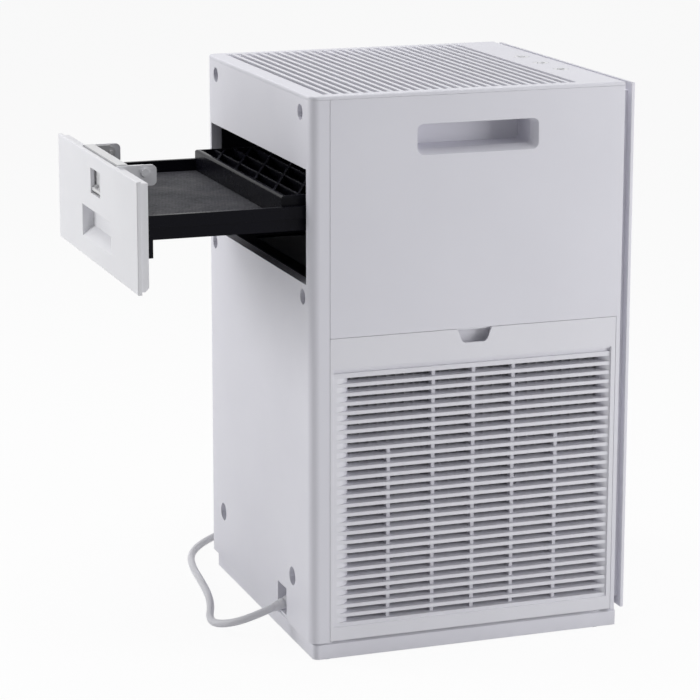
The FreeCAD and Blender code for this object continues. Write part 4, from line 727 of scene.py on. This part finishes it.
@dataclass
class ControlPanel:
    """Three keys in the top, what is under them, and their printed marks."""

    keys: tuple[str, ...] = ("power_key", "mode_key", "speed_key")
    mark_radius: float = 2.9 * MM
    line: float = 0.55 * MM
    proud: float = 0.03 * MM

    def stroke(self, path: Array, closed: bool = False) -> tuple[Array, Array]:
        """A flat printed line: a thin slab carried along a path (n, 2) in the XY plane."""
        ahead = np.roll(path, -1, 0) - np.roll(path, 1, 0) if closed else np.gradient(path, axis=0)
        ahead /= np.linalg.norm(ahead, axis=1, keepdims=True)
        side = np.stack([-ahead[:, 1], ahead[:, 0]], -1) * self.line / 2
        flat = np.stack([path + side, path - side, path - side, path + side], 1)
        tall = np.array([1.0, 1.0, -1.0, -1.0]) * self.proud
        rings = np.concatenate([flat, np.broadcast_to(tall[None, :, None], (len(path), 4, 1))], -1)
        if closed:
            faces = grid_faces(len(path) + 1, 4, wrap=True) % (len(path) * 4)
            return rings.reshape(-1, 3), np.concatenate([faces[:, [0, 1, 2]], faces[:, [0, 2, 3]]])
        return tube(rings)

    def arc(self, start: float, end: float, scale: float = 1.0, count: int = 30) -> Array:
        """Part of a circle between two angles in degrees."""
        angle = np.radians(np.linspace(start, end, count))
        return np.stack([np.cos(angle), np.sin(angle)], -1) * self.mark_radius * scale

    def marks(self) -> dict[str, list[tuple[Array, Array]]]:
        """The strokes of each key's mark: on and off, an automatic cycle, and fan blades."""
        r = self.mark_radius
        bar = np.stack([np.zeros(6), np.linspace(0.25, 1.15, 6) * r], -1)
        arrow = self.arc(35, 330)
        tip = np.array([arrow[-1] + np.array([-0.45, -0.05]) * r, arrow[-1] + np.array([0.0, 0.0]),
                        arrow[-1] + np.array([0.05, -0.5]) * r])
        blades = []
        for turn in range(3):
            t = np.linspace(0, 1, 16)
            angle = np.radians(120 * turn + 95 * t)
            reach = r * (0.18 + 0.9 * np.sin(t * math.pi) ** 0.8)
            blades.append(self.stroke(np.stack([reach * np.cos(angle), reach * np.sin(angle)], -1)))
        return {"power_key": [self.stroke(self.arc(125, 415)), self.stroke(bar)],
                "mode_key": [self.stroke(arrow), self.stroke(tip)],
                "speed_key": [*blades, self.stroke(self.arc(0, 354, 0.16, 18), closed=True)]}

    def build(self, dresser: Dresser) -> None:
        """Dresses the keys and boards, and prints the marks on the key caps."""
        dresser.dress_nodes(KEY_WHITE, *self.keys)
        dresser.dress_nodes(SWITCH_BLACK, "key_switches")
        dresser.dress_nodes(BOARD, "control_board")
        for key, strokes in self.marks().items():
            low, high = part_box(key)
            points, faces = joined(strokes)
            points = points + np.array([(low[0] + high[0]) / 2, (low[1] + high[1]) / 2, high[2] + self.proud])
            mark = mesh_object(f"{key}_mark", points, faces, smooth=False)
            dresser.dress(mark, MARK_GREY)
            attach(mark, key)


@dataclass
class InletSide:
    """One side's inlet door, pre-filter and particle filter."""

    side: str
    pleat_pitch: float = 6.5 * MM
    thickness: float = 0.7 * MM

    def pleats(self, dresser: Dresser) -> None:
        """Pleated sheet: its depth is a rounded triangle wave along Y, carried up along Z."""
        node = f"{self.side}_hepa_media"
        low, high = (np.array(p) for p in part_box(node))
        count = int((high[1] - low[1]) / self.pleat_pitch)
        y = np.linspace(low[1], high[1], count * 12 + 1)
        wave = np.arcsin(0.985 * np.sin((y - low[1]) * 2 * math.pi / self.pleat_pitch)) / math.asin(0.985)
        margin = self.thickness
        x = (low[0] + high[0]) / 2 + wave * ((high[0] - low[0]) / 2 - margin)
        z = np.linspace(low[2], high[2], 6)
        points = np.stack(np.broadcast_arrays(x[:, None], y[:, None], z[None, :]), -1)
        media = mesh_object(f"{self.side}_pleats", points, grid_faces(len(y), len(z)), closed=False)
        solid = media.modifiers.new("thickness", "SOLIDIFY")
        solid.thickness, solid.offset = self.thickness, 0.0
        dresser.dress(media, PAPER)
        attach(media, "casing")
        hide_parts(node)

    def build(self, dresser: Dresser) -> None:
        """Dresses the door and filters and folds the pleats."""
        dresser.dress_nodes(GRILLE_WHITE, f"{self.side}_door")
        dresser.dress_nodes(NET_GREY, f"{self.side}_prefilter")
        dresser.dress_nodes(FRAME_BOARD, f"{self.side}_hepa_frame")
        dresser.dress_nodes(INNER_GREY, f"{self.side}_inlet_plate")
        self.pleats(dresser)


@dataclass
class Drawer:
    """Filter drawer: cover, lever, tray, woven filter and lattice cage."""

    swell: float = 0.5 * MM
    edge: float = 1.6 * MM

    def filter_pad(self, dresser: Dresser) -> None:
        """Woven filter: a slab whose top has rounded edges and a faint unevenness over its granules.

        Height at a point is the top less a quarter circle within the edge radius of the rim, plus
        a sum of three sines with wavelengths of 37, 23 and 11 mm.
        """
        low, high = (np.array(p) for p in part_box("deodorising_filter"))
        x = self._eased(low[0], high[0], 150)
        y = self._eased(low[1], high[1], 150)
        px, py = np.meshgrid(x, y, indexing="ij")
        rim = np.minimum.reduce([px - low[0], high[0] - px, py - low[1], high[1] - py])
        drop = self.edge - np.sqrt(np.clip(self.edge ** 2 - np.clip(self.edge - rim, 0, None) ** 2, 0, None))
        uneven = sum(np.sin(px * a + i) * np.sin(py * b + 2 * i) for i, (a, b) in enumerate(
            ((170.0, 150.0), (270.0, 300.0), (560.0, 520.0))))
        top = high[2] - drop - self.swell * 0.16 * (1 - uneven / 3)
        pad = mesh_object("woven_filter", np.stack([px, py, top], -1), grid_faces(len(x), len(y))[:, ::-1],
                          closed=False)
        solid = pad.modifiers.new("thickness", "SOLIDIFY")
        solid.thickness, solid.offset = (high[2] - low[2]) - 2 * self.edge, -1.0
        dresser.dress(pad, CARBON)
        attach(pad, "drawer")
        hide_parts("deodorising_filter")

    def _eased(self, start: float, end: float, count: int) -> Array:
        """Places from start to end with extra ones inside the edge radius of each end."""
        near = self.edge * (1 - np.cos(np.linspace(0, math.pi / 2, 6)))
        return np.concatenate([start + near, np.linspace(start + self.edge, end - self.edge, count)[1:-1],
                               (end - near)[::-1]])

    def build(self, dresser: Dresser) -> None:
        """Dresses the drawer's nodes and makes the woven filter."""
        dresser.dress_nodes(DRAWER_WHITE, "drawer_front")
        dresser.dress_nodes(LEVER_WHITE, "drawer_latch")
        dresser.dress_nodes(STEEL, "latch_pins")
        dresser.dress_nodes(BLACK, "filter_tray", "ioniser_cage")
        dresser.dress_nodes(BAY_BLACK, "drawer_bay")
        self.filter_pad(dresser)


@dataclass
class Blower:
    """Fan wheel, its scroll, motor and electronics inside."""

    def build(self, dresser: Dresser) -> None:
        """Dresses the inner nodes."""
        dresser.dress_nodes(INNER_GREY, "fan_scroll")
        dresser.dress_nodes(FAN_BLACK, "impeller")
        dresser.dress_nodes(MOTOR_CAN, "motor")
        dresser.dress_nodes(STEEL, "motor_shaft", "motor_bracket", "motor_screws")
        dresser.dress_nodes(SWITCH_BLACK, "board_tray")
        dresser.dress_nodes(BOARD, "power_board")


def main() -> None:
    """Builds the studio and every sub-assembly in order."""
    logging.basicConfig(level=logging.INFO, format="%(name)s %(message)s")
    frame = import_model()
    dresser = Dresser(frame["nodes"])
    Studio().build()
    MainsCord().build(dresser)
    for assembly in (Casing(), ControlPanel(), InletSide("left"), InletSide("right"), Drawer(), Blower()):
        assembly.build(dresser)
        log.info("built %s", type(assembly).__name__)


if __name__ == "__main__":
    main()
